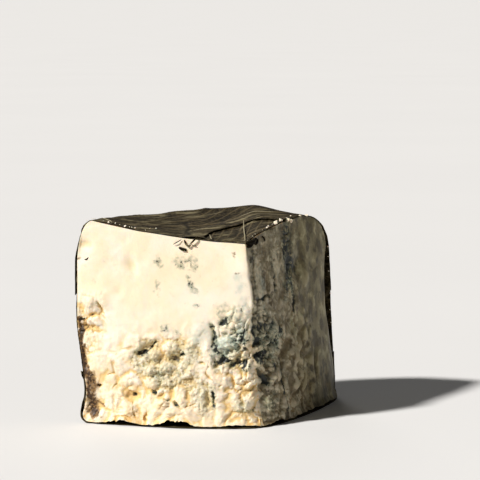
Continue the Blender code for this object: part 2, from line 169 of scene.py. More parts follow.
# Creases of the two top leaves, seen from above: two ends, half width, depth
TOP_FOLDS = (
    (-36, 44.6, -11, 55, 0.9, 0.9),
    (-9, 56, -22, 22, 1.3, 1),
    (-52, 52, -20, 66, 1, 0.6),
    (2, 44, 24, 58, 1, 0.7),
    (18, 40, 46, 44, 1.1, 0.7),
    (-6, 66, 34, 70, 1.2, 0.6),
)
NOSE_FOLDS = (
    (-6, 17, 12, 27, 0.8, 0.6),
    (0, 8, 8, 30, 0.7, 0.5),
)

# Twigs over the left cut: radius, then points as s, z and distance out
LEFT_TWIGS = (
    (0.22, ((37.5, 87.2, 0.9), (35.2, 88.4, 1.2), (33.0, 89.6, 0.6))),
    (0.50, ((31.6, 89.4, 0.4), (30.8, 87.6, 1.3), (29.6, 86.6, 1.5), (28.0, 86.9, 1.1))),
    (0.40, ((28.8, 87.2, 1.2), (27.4, 88.4, 1.6), (25.2, 90.4, 1.4), (24.4, 91.2, 0.2))),
    (0.16, ((28.4, 87.6, 1.0), (26.6, 86.8, 1.1), (25.0, 86.5, 0.8))),
    (0.75, ((34.6, 85.8, 0.8), (32.6, 85.0, 1.0), (30.6, 84.8, 0.8))),
    (0.45, ((31.8, 85.0, 1.0), (30.6, 84.0, 0.9))),
    (0.30, ((82.4, 80.0, 0.6), (83.4, 79.0, 0.9), (84.6, 78.9, 0.6))),
    (0.30, ((84.4, 50.6, 0.9), (86.6, 49.6, 0.9))),
)

# Torn bits of the nose leaf over the right cut
RIGHT_TWIGS = (
    (1.2, ((0.4, 88.7, 0.4), (3.5, 88.2, 0.8), (7.0, 88.7, 0.8), (10.5, 89.8, 0.5))),
    (0.9, ((0.7, 87.0, 0.4), (2.6, 86.7, 0.8), (4.6, 87.3, 0.8), (6.6, 88.2, 0.6))),
    (0.8, ((7.4, 88.2, 0.6), (9.2, 87.4, 0.8), (10.6, 88.0, 0.7), (11.8, 89.4, 0.4))),
    (0.4, ((17.0, 90.2, 0.2), (18.6, 89.0, 0.5), (19.0, 87.6, 0.4))),
)

# Pale fibres on the top leaves: radius, then points as u, w and height over them
FIBRES = (
    (0.26, ((0.28, 0.5, 0.3), (0.275, 12.0, 0.5), (0.282, 26.0, 0.4), (0.28, 40.0, 1.2))),
    (0.24, ((0.99, 17.4, 0.2), (0.88, 19.5, 0.4), (0.74, 24.0, 0.8))),
    (0.22, ((0.30, 49.0, 0.3), (0.22, 52.0, 0.5), (0.12, 54.0, 0.3))),
    (0.18, ((0.995, 70.0, 0.3), (0.97, 72.0, 0.4), (0.95, 78.0, 0.3))),
)

# Crumbs: u, w, height over the leaf and radius
CRUMBS = (
    (0.010, 24.0, 0.1, 0.6), (0.020, 26.5, 0.1, 0.4), (0.006, 33.0, 0.2, 0.9),
    (0.022, 36.0, 0.2, 0.5), (0.012, 39.5, 0.1, 0.8), (0.030, 41.5, 0.2, 0.4),
    (0.006, 45.5, -0.8, 1.3), (0.000, 48.5, -1.4, 1.2), (0.020, 52.5, 0.0, 0.4),
    (0.002, 59.0, -0.6, 0.6), (0.000, 65.0, -0.6, 0.7), (0.990, 72.0, 0.0, 0.5),
    (0.975, 69.0, 0.1, 0.3), (0.890, 50.5, 0.1, 0.35), (0.930, 52.0, 0.1, 0.25),
    (0.985, 58.0, 0.0, 0.4), (0.995, 63.0, 0.0, 0.5), (0.003, 98.0, -1.8, 0.4),
    (0.003, 104.0, -2.4, 0.3), (0.003, 112.0, -2.2, 0.35), (0.002, 124.0, -2.0, 0.4),
    (0.003, 133.0, -2.6, 0.3), (0.003, 140.0, -1.9, 0.4),
)
SMALL_CRUMBS = 18

# Fine grids: along a cut face, up a cut face, and round the back
FACE_COLUMNS = 198
FACE_ROWS = 206
BACK_COLUMNS = 24

# Small lumps of a cut face: size, size and amount of the bending of their outlines, depth
# of their creases, a lump's width up to its flat top and its mean level, how far whole
# lumps stand up or down about a mean, and two steps on from the cut's seed
Lumps = namedtuple("Lumps", "size bend_size bend depth width level rise mean seeds")
SMALL_CURDS = Lumps(3.6, 5.0, 1.6, 0.5, 0.5, 0.6, 0.45, 0.5, (2, 5))
GRANULES = Lumps(1.6, 2.0, 0.6, 0.42, 0.5, 0.6, 0.5, 0.5, (9, 13))
FINE_CURDS = Lumps(2.3, 3.0, 1.0, 0.38, 0.4, 0.6, 0.0, 0.5, (41, 43))
FINEST_CURDS = Lumps(1.3, 1.6, 0.5, 0.18, 0.4, 0.6, 0.0, 0.5, (51, 53))
NOSE_LUMPS = Lumps(4.0, 4.0, 2.4, 0.7, 0.4, 0.7, 0.6, 0.6, (55, 57))
PLATES = Lumps(12.0, 7.0, 3.0, 0.0, 0.5, 0.6, 0.0, 0.5, (31, 33))
CRACK_DEPTH = 0.6

# Colours laid on the paste one after another: the mask, the noise that breaks it up and how
# much, where it starts and where it is full, its strength, its colour and how it is laid on
PASTE_LAYERS = (
    # The pit layer is painted shade: dark brown where the paste sinks below its neighbours.
    ("pit", "blots", 1.4, 0.25, 1.1, 0.85, (0.10, 0.06, 0.03), "MIX"),
    ("bloom", "blots", 0.9, 0.2, 1.1, 0.8, (0.47, 0.55, 0.48), "MIX"),
    ("mould", "blots", 1.2, 0.10, 0.75, 0.85, (0.43, 0.50, 0.475), "MULTIPLY"),
    ("mould", "grain", 3.0, 0.62, 1.0, 1.0, (0.030, 0.034, 0.029), "MIX"),
    ("stain", "blots", 1.6, 0.35, 0.95, 1.0, (0.22, 0.125, 0.045), "MIX"),
    ("stain", "grain", 2.0, 0.80, 1.10, 1.0, (0.045, 0.022, 0.008), "MIX"),
)

# The camera: its turn round the nose edge's foot, and its place in those turned axes
VIEW_TURN = math.radians(26.25)
CAMERA_OFFSET = (-10.5, -1033.8, 204.7)
CAMERA_PITCH = math.radians(6.32)
CAMERA_LENS = 165.0

# How far the camera sees and how wide the floor is, in metres
CAMERA_SEES = 400.0
FLOOR_SIZE = 400.0

# Hollows in a cut face: s, z, half length, half width, tilt in degrees, depth
LEFT_HOLLOWS = (
    (52, 36, 6.5, 2.2, -32, 1.3), (38, 34, 3, 2.2, 0, 2.2),
    (57, 76, 5, 3, 70, 0.9), (79, 87, 4, 2.5, 10, 0.9),
    (80, 46, 8, 2.2, 15, 2.6), (62, 15, 4, 2, 15, 2.2),
    (46, 14, 3.5, 1.8, -20, 2.2), (24, 14, 6, 1.6, 85, 2.2),
    (19, 45, 6, 1.7, 80, 0.9), (10, 32, 4, 2.2, -40, 2.8),
)
RIGHT_HOLLOWS = (
    (50, 73, 6, 4, 60, 1.6), (17, 66, 9, 1.8, 88, 1.4),
    (26, 34, 6, 3, 60, 1.6), (40, 40, 9, 2.2, 80, 2.2),
    (38, 12, 10, 1.6, 86, 2), (60, 22, 8, 2.2, 70, 1.6),
)

# Lumps that stand out of a cut face: s, z, half length, half width, tilt, height
LEFT_LUMPS = (
    (79, 57, 8, 6, 0, 2.6), (72, 32, 7, 7, 30, 2),
    (21.5, 31, 8, 1.7, 88, 1), (40, 9, 12, 5, 0, 1.8),
)
RIGHT_LUMPS = (
    (12, 26, 7, 5, 60, 2.4), (34, 30, 10, 3.2, 80, 2.4),
    (56, 66, 5, 5, 0, 1.2),
)

# Small holes: s, z, half length, half width, tilt, depth
LEFT_HOLES = (
    (49, 39.2, 3, 0.5, -38, 1.5), (53.6, 35.4, 1.8, 0.6, -10, 1),
    (56.5, 34.6, 2, 0.8, 20, 1.5), (34.3, 35, 1, 0.8, 0, 1.6),
    (26.3, 31, 1.1, 0.7, 40, 1.2), (60.5, 14.6, 1, 0.7, 60, 1.4),
    (49.3, 16.3, 1.2, 0.7, 0, 1.5), (44.8, 13.6, 1.5, 0.6, 0, 1.4),
    (39.6, 11.2, 2.4, 0.9, 60, 1.6), (77.5, 18, 1.6, 0.8, -20, 1.4),
    (55.5, 3.5, 3, 0.7, 90, 1.6), (19.4, 48, 2, 0.7, 70, 0.9),
    (19, 42.5, 2.6, 0.7, 95, 0.9), (14.6, 50.5, 2, 1.2, -50, 1.8),
    (16.5, 32, 3.6, 2.2, -35, 1.8), (8.5, 31, 4, 1.4, -10, 1.6),
    (22.3, 14.5, 5, 0.8, 84, 1.4), (79, 51.5, 6.5, 0.7, -18, 1.2),
    (73.5, 56, 4.5, 0.8, 62, 1.4),
)
RIGHT_HOLES = (
    (41, 73.5, 4, 2.4, 80, 1.4), (23.5, 66.5, 4.5, 0.8, 88, 1.4),
    (41, 53, 8, 0.8, 86, 1.6), (12, 61.5, 9, 0.6, 4, 0.9),
    (5.5, 75, 6, 0.9, 86, 1), (6, 33, 2.8, 1.2, 10, 1.6),
    (14, 40, 3.5, 1.4, 30, 1.4), (5, 23.5, 5, 1.4, -40, 1.8),
    (20.5, 12, 12, 0.7, 88, 1.8), (35.5, 15, 4, 0.8, -60, 1.2),
    (24, 38, 6, 0.8, 80, 1.2),
)

# Dark blue mould: s, z, half length, half width, tilt, strength
LEFT_MOULD = (
    (2.5, 42, 5, 13, 0, 0.55), (7, 55, 7, 3, -30, 0.4),
    (16, 55, 5, 2.6, 40, 0.45), (43.3, 77.6, 3.6, 2.2, 60, 1.15),
    (44.4, 65.4, 4, 2, 80, 1.05), (34.2, 78.6, 5, 2.4, 40, 0.66),
    (27.4, 78.5, 5.4, 3.8, 20, 0.8), (29.2, 70.5, 4.2, 1.4, 65, 0.8),
    (25.3, 77, 2.4, 1.4, 90, 0.5), (27.4, 66, 3.4, 1.9, 60, 0.7),
    (26.4, 58.8, 2.4, 1.8, 0, 0.55), (13.5, 58, 2.6, 3.4, 20, 0.55),
    (42.5, 46.5, 3.4, 2.4, 50, 0.7), (36.6, 44.5, 2, 1.6, 0, 0.75),
    (19.5, 48.6, 2.8, 1.5, 66, 0.85), (19, 43, 4.6, 1.7, 96, 0.85),
    (20.2, 38.5, 2.6, 0.9, 60, 0.7), (14, 50.5, 3.4, 1.8, -40, 1.1),
    (16.5, 32, 4.6, 3.6, -35, 1.2), (6.3, 30, 5, 2.4, -10, 0.95),
    (8.5, 45, 5, 4, 30, 0.6), (12, 38, 10, 12, 0, 0.36),
    (22.3, 14.5, 6.4, 1.4, 84, 1), (49.4, 39, 3.6, 0.8, -38, 0.9),
    (55, 35, 3.2, 1.6, 10, 0.85), (53, 31, 5, 2.4, -60, 0.45),
    (34.3, 35, 1.6, 1.4, 0, 0.95), (33, 32, 12, 5, 0, 0.4),
    (46, 22, 10, 7, 0, 0.34), (60.5, 14.6, 1.5, 1.1, 60, 0.9),
    (49.3, 16.3, 1.6, 1.1, 0, 0.9), (44.8, 13.6, 1.9, 0.9, 0, 0.85),
    (39.6, 11.2, 2.4, 1.1, 60, 0.8), (6, 12, 6, 7, 0, 0.45),
)
RIGHT_MOULD = (
    (2.5, 45, 6, 15, 0, 0.62), (12, 40, 16, 16, 0, 0.38),
    (8, 12, 10, 12, 0, 0.2), (40, 76, 10, 20, 0, 0.36),
    (44.5, 90, 6, 3.4, 80, 1.1), (41, 81, 9, 4.6, 84, 0.8),
    (42, 73.5, 6.4, 5.4, 80, 1.25), (36, 66, 4, 2, 40, 0.95),
    (40, 62, 4, 1.6, 80, 0.95), (33, 60, 5, 2, 60, 0.75),
    (41, 53, 10, 1.6, 86, 0.95), (23.5, 66.5, 5, 1.4, 88, 0.9),
    (12, 61.5, 11, 1, 4, 0.7), (4, 76, 14, 3.4, 88, 0.66),
    (10, 84, 5, 4, 40, 0.5), (14, 72, 6, 3, 60, 0.55),
    (24, 78, 8, 2.4, 84, 0.5), (14, 49, 8, 5, 30, 0.62),
    (24, 44, 5, 4, 60, 0.62), (6, 33, 6, 3, 10, 1),
    (3, 36, 10, 2.4, 88, 0.9), (20, 39, 5, 4, 30, 0.75),
    (14, 29, 5, 2.2, 10, 0.8), (5.5, 22.5, 6, 2.4, -40, 0.8),
    (20.5, 14, 14, 1.2, 88, 0.95), (9, 10, 8, 6, 0, 0.4),
    (35.5, 15, 5, 1.2, -60, 0.72), (36, 30, 8, 3, 80, 0.5),
    (55, 72, 9, 7, 0, 0.4),
)

# Pale blue-green bloom round the mould: s, z, half length, half width, tilt, strength
LEFT_BLOOM = (
    (7, 50, 9, 9, 0, 0.8), (5, 68, 9, 4.2, 84, 1.05),
    (11, 63, 5, 4, 0, 0.35), (40, 46, 7, 4.5, 0, 0.55),
    (25, 44, 7, 7, 0, 1.05), (17, 38, 5, 10, 0, 0.9),
    (9, 38, 8, 10, 0, 0.85), (28, 67, 5, 3, 50, 0.4),
    (45, 66, 4, 2.6, 80, 0.35), (36, 30, 16, 8, 0, 0.5),
    (48, 22, 10, 8, 0, 0.42), (22, 14, 7, 3, 84, 0.45),
    (8, 12, 8, 8, 0, 0.55),
)
RIGHT_BLOOM = (
    (38, 74, 18, 9, 84, 0.75), (10, 68, 16, 8, 84, 0.5),
    (16, 40, 16, 12, 60, 0.7), (10, 14, 12, 8, 0, 0.3),
    (36, 30, 16, 7, 84, 0.35),
)

# Brown stains and rind colour on a cut face: s, z, half length, half width, tilt, strength
LEFT_STAIN = (
    (82.5, 12, 8, 4, 80, 1.15), (84.6, 31, 14, 2.6, 88, 1.15),
    (80.5, 21, 7, 3, 70, 0.75), (81, 5, 5, 2.6, 0, 0.75),
    (85, 45, 6, 1.8, 88, 0.8), (76, 8, 3, 1.4, 40, 0.75),
    (6, 82.5, 2.6, 1.3, 70, 0.85), (4.6, 74, 2.8, 1.2, 0, 0.62),
    (84.4, 78.5, 1.8, 1.2, 0, 0.95), (84.6, 50, 2.6, 0.8, 20, 0.95),
    (77.5, 18, 1.4, 0.8, -20, 1),
)
RIGHT_STAIN = (
    (20, 24, 3.4, 2.2, 80, 0.35), (78, 60, 30, 5, 88, 0.35),
    (50, 90, 20, 5, 0, 0.35),
)

# Broken, finely granular zones: s, z, half length, half width, tilt, strength
LEFT_GRANULAR = (
    (53, 36.5, 9, 5, -32, 1.2), (44, 26, 17, 9, 8, 1.2),
    (14, 36, 10, 12, 0, 0.8), (22, 15, 7, 4, 84, 0.5),
    (84, 12, 8, 4, 84, 1), (28, 14, 6, 11, 0, 0.9),
    (33, 37, 9, 6, 0, 1.1), (9, 9, 8, 7, 0, 0.7),
)
RIGHT_GRANULAR = (
    (12, 38, 14, 10, 60, 1.2), (40, 68, 14, 6, 80, 0.7),
    (8, 10, 9, 7, 0, 0.8), (37, 42, 11, 4, 80, 1),
)


def smooth(x, low, high):
    """0 below low and 1 above high, with a smooth rise between."""
    t = np.clip((x - low) / (high - low), 0.0, 1.0)
    return t * t * (3.0 - 2.0 * t)


def mix(a, b, t):
    return a + (b - a) * t


def lattice(cell, seed):
    """A fixed value between 0 and 1 for each whole-numbered cell."""
    mask = np.uint64(0xFFFFFFFF)
    c = cell.astype(np.int64).astype(np.uint64)
    h = c[..., 0] * np.uint64(374761393) + c[..., 1] * np.uint64(668265263)
    h = h + c[..., 2] * np.uint64(2246822519) + np.uint64(seed * 3266489917)
    h = h & mask
    h = ((h ^ (h >> np.uint64(13))) * np.uint64(1274126177)) & mask
    h = h ^ (h >> np.uint64(16))
    return h.astype(float) / float(0xFFFFFFFF)


def noise(points, size, seed):
    """Smooth noise between -1 and 1, with bumps about size across."""
    p = points / size + 1000.0
    cell = np.floor(p)
    f = p - cell
    f = f * f * (3.0 - 2.0 * f)
    total = 0.0
    for corner in np.ndindex(2, 2, 2):
        c = np.array(corner)
        weight = np.prod(np.where(c == 1, f, 1.0 - f), axis=-1)
        total = total + weight * lattice(cell + c, seed)
    return 2.0 * total - 1.0


def layered_noise(points, size, seed, layers=3):
    total = 0.0
    for k in range(layers):
        total = total + noise(points, size / 2 ** k, seed + k) / 2 ** k
    return total / 1.6


def cells(points, size, seed):
    """Lumps about size across: how far from the crease, and a value for each lump."""
    p = points / size + 1000.0
    cell = np.floor(p)
    nearest = np.full(p.shape[:-1], 9.0)
    second = np.full(p.shape[:-1], 9.0)
    value = np.zeros(p.shape[:-1])
    for step in np.ndindex(3, 3, 3):
        other = cell + np.array(step) - 1.0
        shift = np.stack([lattice(other, seed + k) for k in range(3)], axis=-1)
        gap = np.linalg.norm(other + shift - p, axis=-1)
        second = np.minimum(second, np.maximum(gap, nearest))
        value = np.where(gap < nearest, shift[..., 0], value)
        nearest = np.minimum(nearest, gap)
    return second - nearest, value


def curds(points, size, seed):
    """Rounded lumps about size across, 1 at a lump's top and 0 in the creases."""
    return smooth(cells(points, size, seed)[0], 0.0, 0.55)


def warped(points, size, amount, seed):
    """The points, pushed about so that lumps and cracks look less regular."""
    push = [noise(points, size, seed + k) for k in range(3)]
    return points + amount * np.stack(push, axis=-1)


def blurred(grid, radius):
    """A grid of values averaged over about radius cells each way."""
    for axis in (0, 1):
        pad = [(0, 0), (0, 0)]
        pad[axis] = (radius, radius)
        for _ in range(2):
            wide = np.pad(grid, pad, mode="edge")
            total = np.cumsum(wide, axis=axis)
            zero = np.zeros_like(np.take(total, [0], axis=axis))
            total = np.concatenate([zero, total], axis=axis)
            count = 2 * radius + 1
            high = np.take(total, range(count, total.shape[axis]), axis=axis)
            low = np.take(total, range(0, total.shape[axis] - count), axis=axis)
            grid = (high - low) / count
    return grid


def rim_height(u):
    width = np.where(u < HUMP_AT, HUMP_WIDTH_RIGHT, HUMP_WIDTH_LEFT)
    return RIM_HEIGHT + HUMP_HEIGHT * np.exp(-(np.abs(u - HUMP_AT) / width) ** 1.5)


def rim_radius(u, z):
    proud = PROUD_LEFT * smooth(z, *PROUD_FROM)
    pinch = PINCH_LEFT * np.exp(-((z - PINCH_AT) / PINCH_WIDTH) ** 2)
    return WHEEL_RADIUS + smooth(u, *BY_LEFT_CUT) * (proud - pinch)


def cut_directions(z):
    """Level directions of the right and the left cut at height z."""
    part = np.clip(z / LEAN_HEIGHT, 0.0, 1.1)
    return RIGHT_CUT + RIGHT_TURN * part, LEFT_CUT + LEFT_TURN * (1.0 - part)


def slump(t, z):
    """How far each cut bellies out at height z, t of the way from nose to rim."""
    low = 1.0 - smooth(z, 0.0, SLUMP_HEIGHT)
    return low * np.sqrt(np.maximum(np.sin(math.pi * np.clip(t, 0.0, 1.0)), 0.0))


def wedge_point(u, t, z, radius_change=0.0):
    """The point u round the wedge, t of the way from the nose edge to the rim, z up."""
    right, left = cut_directions(z)
    lean = NOSE_LEAN * z / LEAN_HEIGHT
    nose_x = NOSE_AT[0] + lean * math.cos(LEFT_CUT)
    nose_y = NOSE_AT[1] + lean * math.sin(LEFT_CUT)
    turn = mix(right, left, u)
    radius = rim_radius(u, z) + radius_change
    rim_x = NOSE_AT[0] + radius * np.cos(turn)
    rim_y = NOSE_AT[1] + radius * np.sin(turn)
    x = mix(nose_x, rim_x, t)
    y = mix(nose_y, rim_y, t)
    out_left = SLUMP_LEFT * slump(t, z) * smooth(u, *BY_LEFT_CUT)
    out_right = SLUMP_RIGHT * slump(t, z) * smooth(u, *BY_RIGHT_CUT)
    x = x - out_left * np.sin(left) + out_right * np.sin(right)
    y = y + out_left * np.cos(left) - out_right * np.cos(right)
    return np.stack(np.broadcast_arrays(x, y, z), axis=-1)


# The skin at one u: how far its shoulder reaches in (a) and down (b), its foot's radius (c),
# and where each of its parts ends along w
Skin = namedtuple("Skin", "a b c top shoulder back foot end")


def skin_lengths(u):
    a, b, c = mix(*SHOULDER_IN, u), mix(*SHOULDER_DOWN, u), mix(*FOOT_RADIUS, u)
    top = WHEEL_RADIUS - a
    shoulder = top + math.pi / 4 * (a + b) * (1.0 + ((a - b) / (a + b)) ** 2 / 4)
    back = shoulder + rim_height(u) - b - c
    foot = back + math.pi / 2 * c
    return Skin(a, b, c, top, shoulder, back, foot, foot + WHEEL_RADIUS - c)


def skin_at_height(u, z):
    """Distance w along the skin of the point on the back at height z."""
    lengths = skin_lengths(u)
    return lengths.back - (z - lengths.c)


def skin(u, w, depth):
    """The point at u and w, depth below the outermost leaf."""
    u, w, depth = np.broadcast_arrays(u, w, depth)
    a, b, c, top, shoulder, back, foot, end = skin_lengths(u)
    height = rim_height(u)
    dish = (height - NOSE_HEIGHT) * (top / (WHEEL_RADIUS - a * 0.5)) ** 2
    shoulder_z = NOSE_HEIGHT + dish
    early = EARLY_RISE * smooth(u, EARLY_RISE_WIDTH, 0.0)
    part = np.clip(w / top, 0.0, 1.0)
    turn_down = np.clip((w - top) / (shoulder - top), 0.0, 1.0) * math.pi / 2
    turn_in = np.clip((w - back) / (foot - back), 0.0, 1.0) * math.pi / 2
    where = [w <= top, w <= shoulder, w <= back, w <= foot]
    r = np.select(where, [
        w,
        top + a * np.sin(turn_down),
        WHEEL_RADIUS,
        WHEEL_RADIUS - c + c * np.cos(turn_in),
    ], np.maximum(end - w, 0.0))
    drop = (w - shoulder) / (back - shoulder)
    z = np.select(where, [
        NOSE_HEIGHT + dish * mix(part ** 2, part * (2.0 - part), early),
        shoulder_z - b + b * np.cos(turn_down),
        mix(shoulder_z - b, c, drop),
        c - c * np.sin(turn_in),
    ])
    steep = np.hypot(np.sin(turn_down) / a, np.cos(turn_down) / b)
    out_r = np.select(where, [0.0, np.sin(turn_down) / a / steep, 1.0, np.cos(turn_in)])
    out_z = np.select(where, [1.0, np.cos(turn_down) / b / steep, 0.0, -np.sin(turn_in)], -1.0)
    plain = np.stack([r * np.cos(2.0 * u), r * np.sin(2.0 * u), z], axis=-1)
    wave = WAVE_HEIGHT * layered_noise(plain, WAVE_LENGTH, seed=11)
    depth = depth - wave * smooth(z, *WAVES_FROM)
    inward = out_r * depth
    t = np.where(r > 1e-9, r / WHEEL_RADIUS, 0.0)
    return wedge_point(u, t, z - out_z * depth, -inward * (r > 1e-9) / np.maximum(t, 0.05))


def patches(s, z, shapes):
    """Sum of soft oval patches: each has s, z, half length, half width, tilt, height."""
    total = np.zeros(s.shape)
    for at_s, at_z, long, wide, tilt, height in shapes:
        ca, sa = math.cos(math.radians(tilt)), math.sin(math.radians(tilt))
        along = ((s - at_s) * ca + (z - at_z) * sa) / long
        across = (-(s - at_s) * sa + (z - at_z) * ca) / wide
        total = total + height * np.exp(-(along ** 2 + across ** 2) * 1.2)
    return total


def bent(points, s, z, seed):
    """s and z pushed about, so that patches lose their even ovals."""
    return s + 1.6 * noise(points, 8.0, seed), z + 1.6 * noise(points, 8.0, seed + 1)


def curd_relief(points, s, z, crumbly, curd_size, swell, lumps, hollows, seed):
    """Curds and swellings where a cut is crumbly, with its own lumps and hollows."""
    broken = crumbly * mix(0.3, 1.0, smooth(noise(points, 19.0, seed), -0.35, 0.35))
    broken = np.maximum(broken, crumbly * smooth(s, 30.0, 12.0))
    curd = curds(warped(points, 9.0, 2.2, seed + 2), curd_size, seed + 6)
    relief = broken * CURD_HEIGHT * (curd - CURD_LEVEL)
    relief += crumbly * swell[0] * layered_noise(points, swell[1], seed + 16)
    bent_s, bent_z = bent(points, s, z, seed + 20)
    relief += patches(bent_s, bent_z, lumps) - patches(bent_s, bent_z, hollows)
    return relief, broken


def left_relief(points, s, z):
    """Smooth where the knife passed, broken into curds below, with a lifted flap."""
    rise = LEFT_CRUMBLY_RISE * (LEFT_CRUMBLY_MIDDLE - s)
    crumbly = 1.0 - smooth(z - rise, *LEFT_CRUMBLY)
    flap = smooth(s, *FLAP_FROM) * (1.0 - smooth(z, *FLAP_BELOW))
    crumbly = np.maximum(crumbly, flap)
    relief, broken = curd_relief(points, s, z, crumbly, 8.5, (1.3, 14.0),
                                 LEFT_LUMPS, LEFT_HOLLOWS, 25)
    relief += 0.5 * layered_noise(points, 17.0, seed=21)
    relief += 0.42 * layered_noise(points, 8.5, seed=47) * smooth(s, 36.0, 58.0)
    return relief, crumbly, broken


def right_relief(points, s, z):
    """Streaked from top to bottom, with loose lumps low down by the nose."""
    crumbly = (1.0 - smooth(z, *RIGHT_CRUMBLY)) * (1.0 - smooth(s, *RIGHT_CRUMBLY_REACH))
    relief, broken = curd_relief(points, s, z, crumbly, 8.0, (1.2, 13.0),
                                 RIGHT_LUMPS, RIGHT_HOLLOWS, 55)
    relief += 0.8 * layered_noise(points * STREAKED, 9.0, seed=51)
    fine = layered_noise(points * FINELY_STREAKED, 3.0, seed=59)
    relief += 0.22 * fine * (1.0 - smooth(s, 50.0, 75.0))
    lumpy = 0.5 * (1.0 - smooth(s, 36.0, 60.0))
    return relief, np.maximum(crumbly, 0.25 + lumpy), np.maximum(broken, lumpy)


def small_lumps(points, kind, seed):
    """Relief of one kind of small lump, and how far each point is from its crease."""
    bent_points = warped(points, kind.bend_size, kind.bend, seed + kind.seeds[0])
    edge, value = cells(bent_points, kind.size, seed + kind.seeds[1])
    relief = kind.depth * (smooth(edge, 0.0, kind.width) - kind.level)
    return relief + kind.rise * (value - kind.mean), edge


def fine_relief(points, s, z, crumbly, broken, cut):
    """Small curds, cracks and grain on top of the large relief, and where they show."""
    seed = cut.seed
    granular = patches(s, z, cut.granular) + 0.3 * noise(points, 5.0, seed)
    granular = smooth(granular, 0.3, 0.8)
    in_places = broken * smooth(noise(points, 8.0, seed + 1), -0.25, 0.5)
    uneven = (0.25 * crumbly + 0.75 * broken) * (0.72 + 0.28 * granular)
    by_nose = smooth(s, 24.0, 8.0) * smooth(z, 10.0, 20.0) * smooth(z + 0.45 * s, 66.0, 56.0)
    curd, curd_edge = small_lumps(points, SMALL_CURDS, seed)
    granule, granule_edge = small_lumps(points, GRANULES, seed)
    height = in_places * curd + granular * granule
    for kind, share in ((FINE_CURDS, uneven), (FINEST_CURDS, uneven), (NOSE_LUMPS, by_nose)):
        height += share * small_lumps(points, kind, seed)[0]
    crack = (1.0 - smooth(small_lumps(points, PLATES, seed)[1], 0.0, 0.06)) * crumbly
    crack = crack * smooth(noise(points, 5.0, seed + 37), 0.15, 0.5)
    height -= CRACK_DEPTH * crack
    rough = 0.025 + 0.17 * crumbly + 0.14 * granular
    height += rough * layered_noise(points, 1.6, seed + 17, layers=2)
    height += (0.08 + 0.25 * crumbly) * layered_noise(points, 5.0, seed + 21)
    crease = (1.0 - smooth(curd_edge, 0.0, 0.18)) * in_places
    small = (1.0 - smooth(granule_edge, 0.0, 0.2)) * granular
    return height, np.clip(crack + 0.6 * crease + 0.5 * small, 0.0, 1.0), granular


def face_masks(points, s, z, height, crumbly, creases, cut):
    """Colours of a cut face, each about 0 to 1, as a map from name to grid. Pit, crease, low and
    gold carry painted shade, and low also a painted highlight on the ridges.
    """
    seed = cut.seed + 40
    grain = layered_noise(points, 1.6, seed, layers=2)
    veins = layered_noise(warped(points, 4.0, 1.5, seed + 7), 3.4, seed + 3)
    veins = 1.0 - smooth(np.abs(veins), 0.0, 0.35)
    clouds = layered_noise(points, 6.0, seed + 5)
    specks = smooth(layered_noise(points, 2.0, seed + 9, layers=2), -0.15, 0.40)
    pit = blurred(height, 4) - height
    wide_pit = blurred(height, 12) - height
    in_pits = np.clip(pit / 0.3, -0.5, 1.0)
    mould = patches(s, z, cut.mould) * (0.30 + 0.45 * veins + 0.60 * specks + 0.5 * in_pits)
    mould = mould + 0.10 * grain
    bloom = patches(s, z, cut.bloom) * (0.7 + 0.6 * clouds) + 0.15 * grain
    stain = patches(s, z, cut.stain) + 0.25 * grain
    # Partly painted shade, a golden tint in the hollows and creases, and partly a yellow tint
    # over the crumbly paste.
    gold_and_shade = 0.75 * np.clip(wide_pit / 1.1, 0.0, 1.0) + 0.35 * np.clip(pit / 0.35, 0.0, 1.0)
    gold_and_shade = crumbly * (gold_and_shade + 0.16 + 0.45 * smooth(clouds, -0.1, 0.8)) + 0.25 * creases
    # Painted shade: dark where the paste sinks, in wide hollows and small pits.
    dark = smooth(wide_pit, 1.1, 2.6) * (0.3 + 0.9 * specks) + 0.5 * smooth(pit, 0.45, 1.0)
    # How far the paste sinks: it paints shade into the hollows and a highlight onto the ridges.
    low = np.clip(0.30 * np.clip(wide_pit, -1.0, 1.0) + 1.3 * pit, -1.0, 1.0)
    return {"mould": mould, "bloom": bloom, "stain": stain, "gold_and_shade": gold_and_shade, "pit": dark,
            "crease": creases, "low": low}


def paste_skin():
    """The paste's surface under the leaves: rows close together by the cuts."""
    t = np.linspace(0.0, 1.0, BACK_COLUMNS + 1)[:, None]
    u = t - 0.85 * np.sin(2.0 * math.pi * t) / (2.0 * math.pi)
    top, shoulder, back, foot, end = skin_lengths(u)[3:]
    first = mix(top, shoulder, 0.5)
    second = mix(back, foot, 0.5)
    along = np.linspace(0.0, 1.0, FACE_COLUMNS + 1)[None, :]
    down = np.linspace(0.0, 1.0, FACE_ROWS + 1)[None, 1:]
    w = np.hstack([first * along, mix(first, second, down), mix(second, end, along[:, 1:])])
    on_back = smooth(w, top, shoulder)
    under = smooth(w, back - 2.0, foot)
    depth = mix(mix(TOP_STACK, BACK_STACK, on_back), BASE_STACK, under)
    shrunk = smooth(u, 0.12, 0.0) * smooth(w, shoulder - 25.0, shoulder + 15.0)
    depth = depth + PASTE_SHRINK * shrunk * smooth(back - w, 8.0, 50.0)
    return skin(u + 0.0 * w, w, depth)


def nose_edge(top, base):
    """The upright edge where the cuts meet."""
    z = np.linspace(top[2], base[2], FACE_ROWS + 1)
    edge = wedge_point(0.5 + 0.0 * z, 0.0 * z, z)
    edge[0] = top
    edge[-1] = base
    return edge


def nose_wear(z):
    """How far the nose edge is worn away from straight, as x and y for each height."""
    swing = smooth(z, NOSE_HEIGHT - 3.0, NOSE_HEIGHT - 9.0) * smooth(z, 1.0, 7.0)
    line = np.stack([0.0 * z, 0.0 * z, z], axis=-1)
    x = 1.3 * layered_noise(line, 13.0, seed=81)
    y = -1.0 * (0.4 + layered_noise(line, 9.0, seed=91))
    low = smooth(z, 56.0, 44.0)
    x = x + 0.8 * low * layered_noise(line, 4.5, seed=85)
    y = y - 0.8 * low * layered_noise(line, 4.0, seed=95)
    return x * swing, y * swing


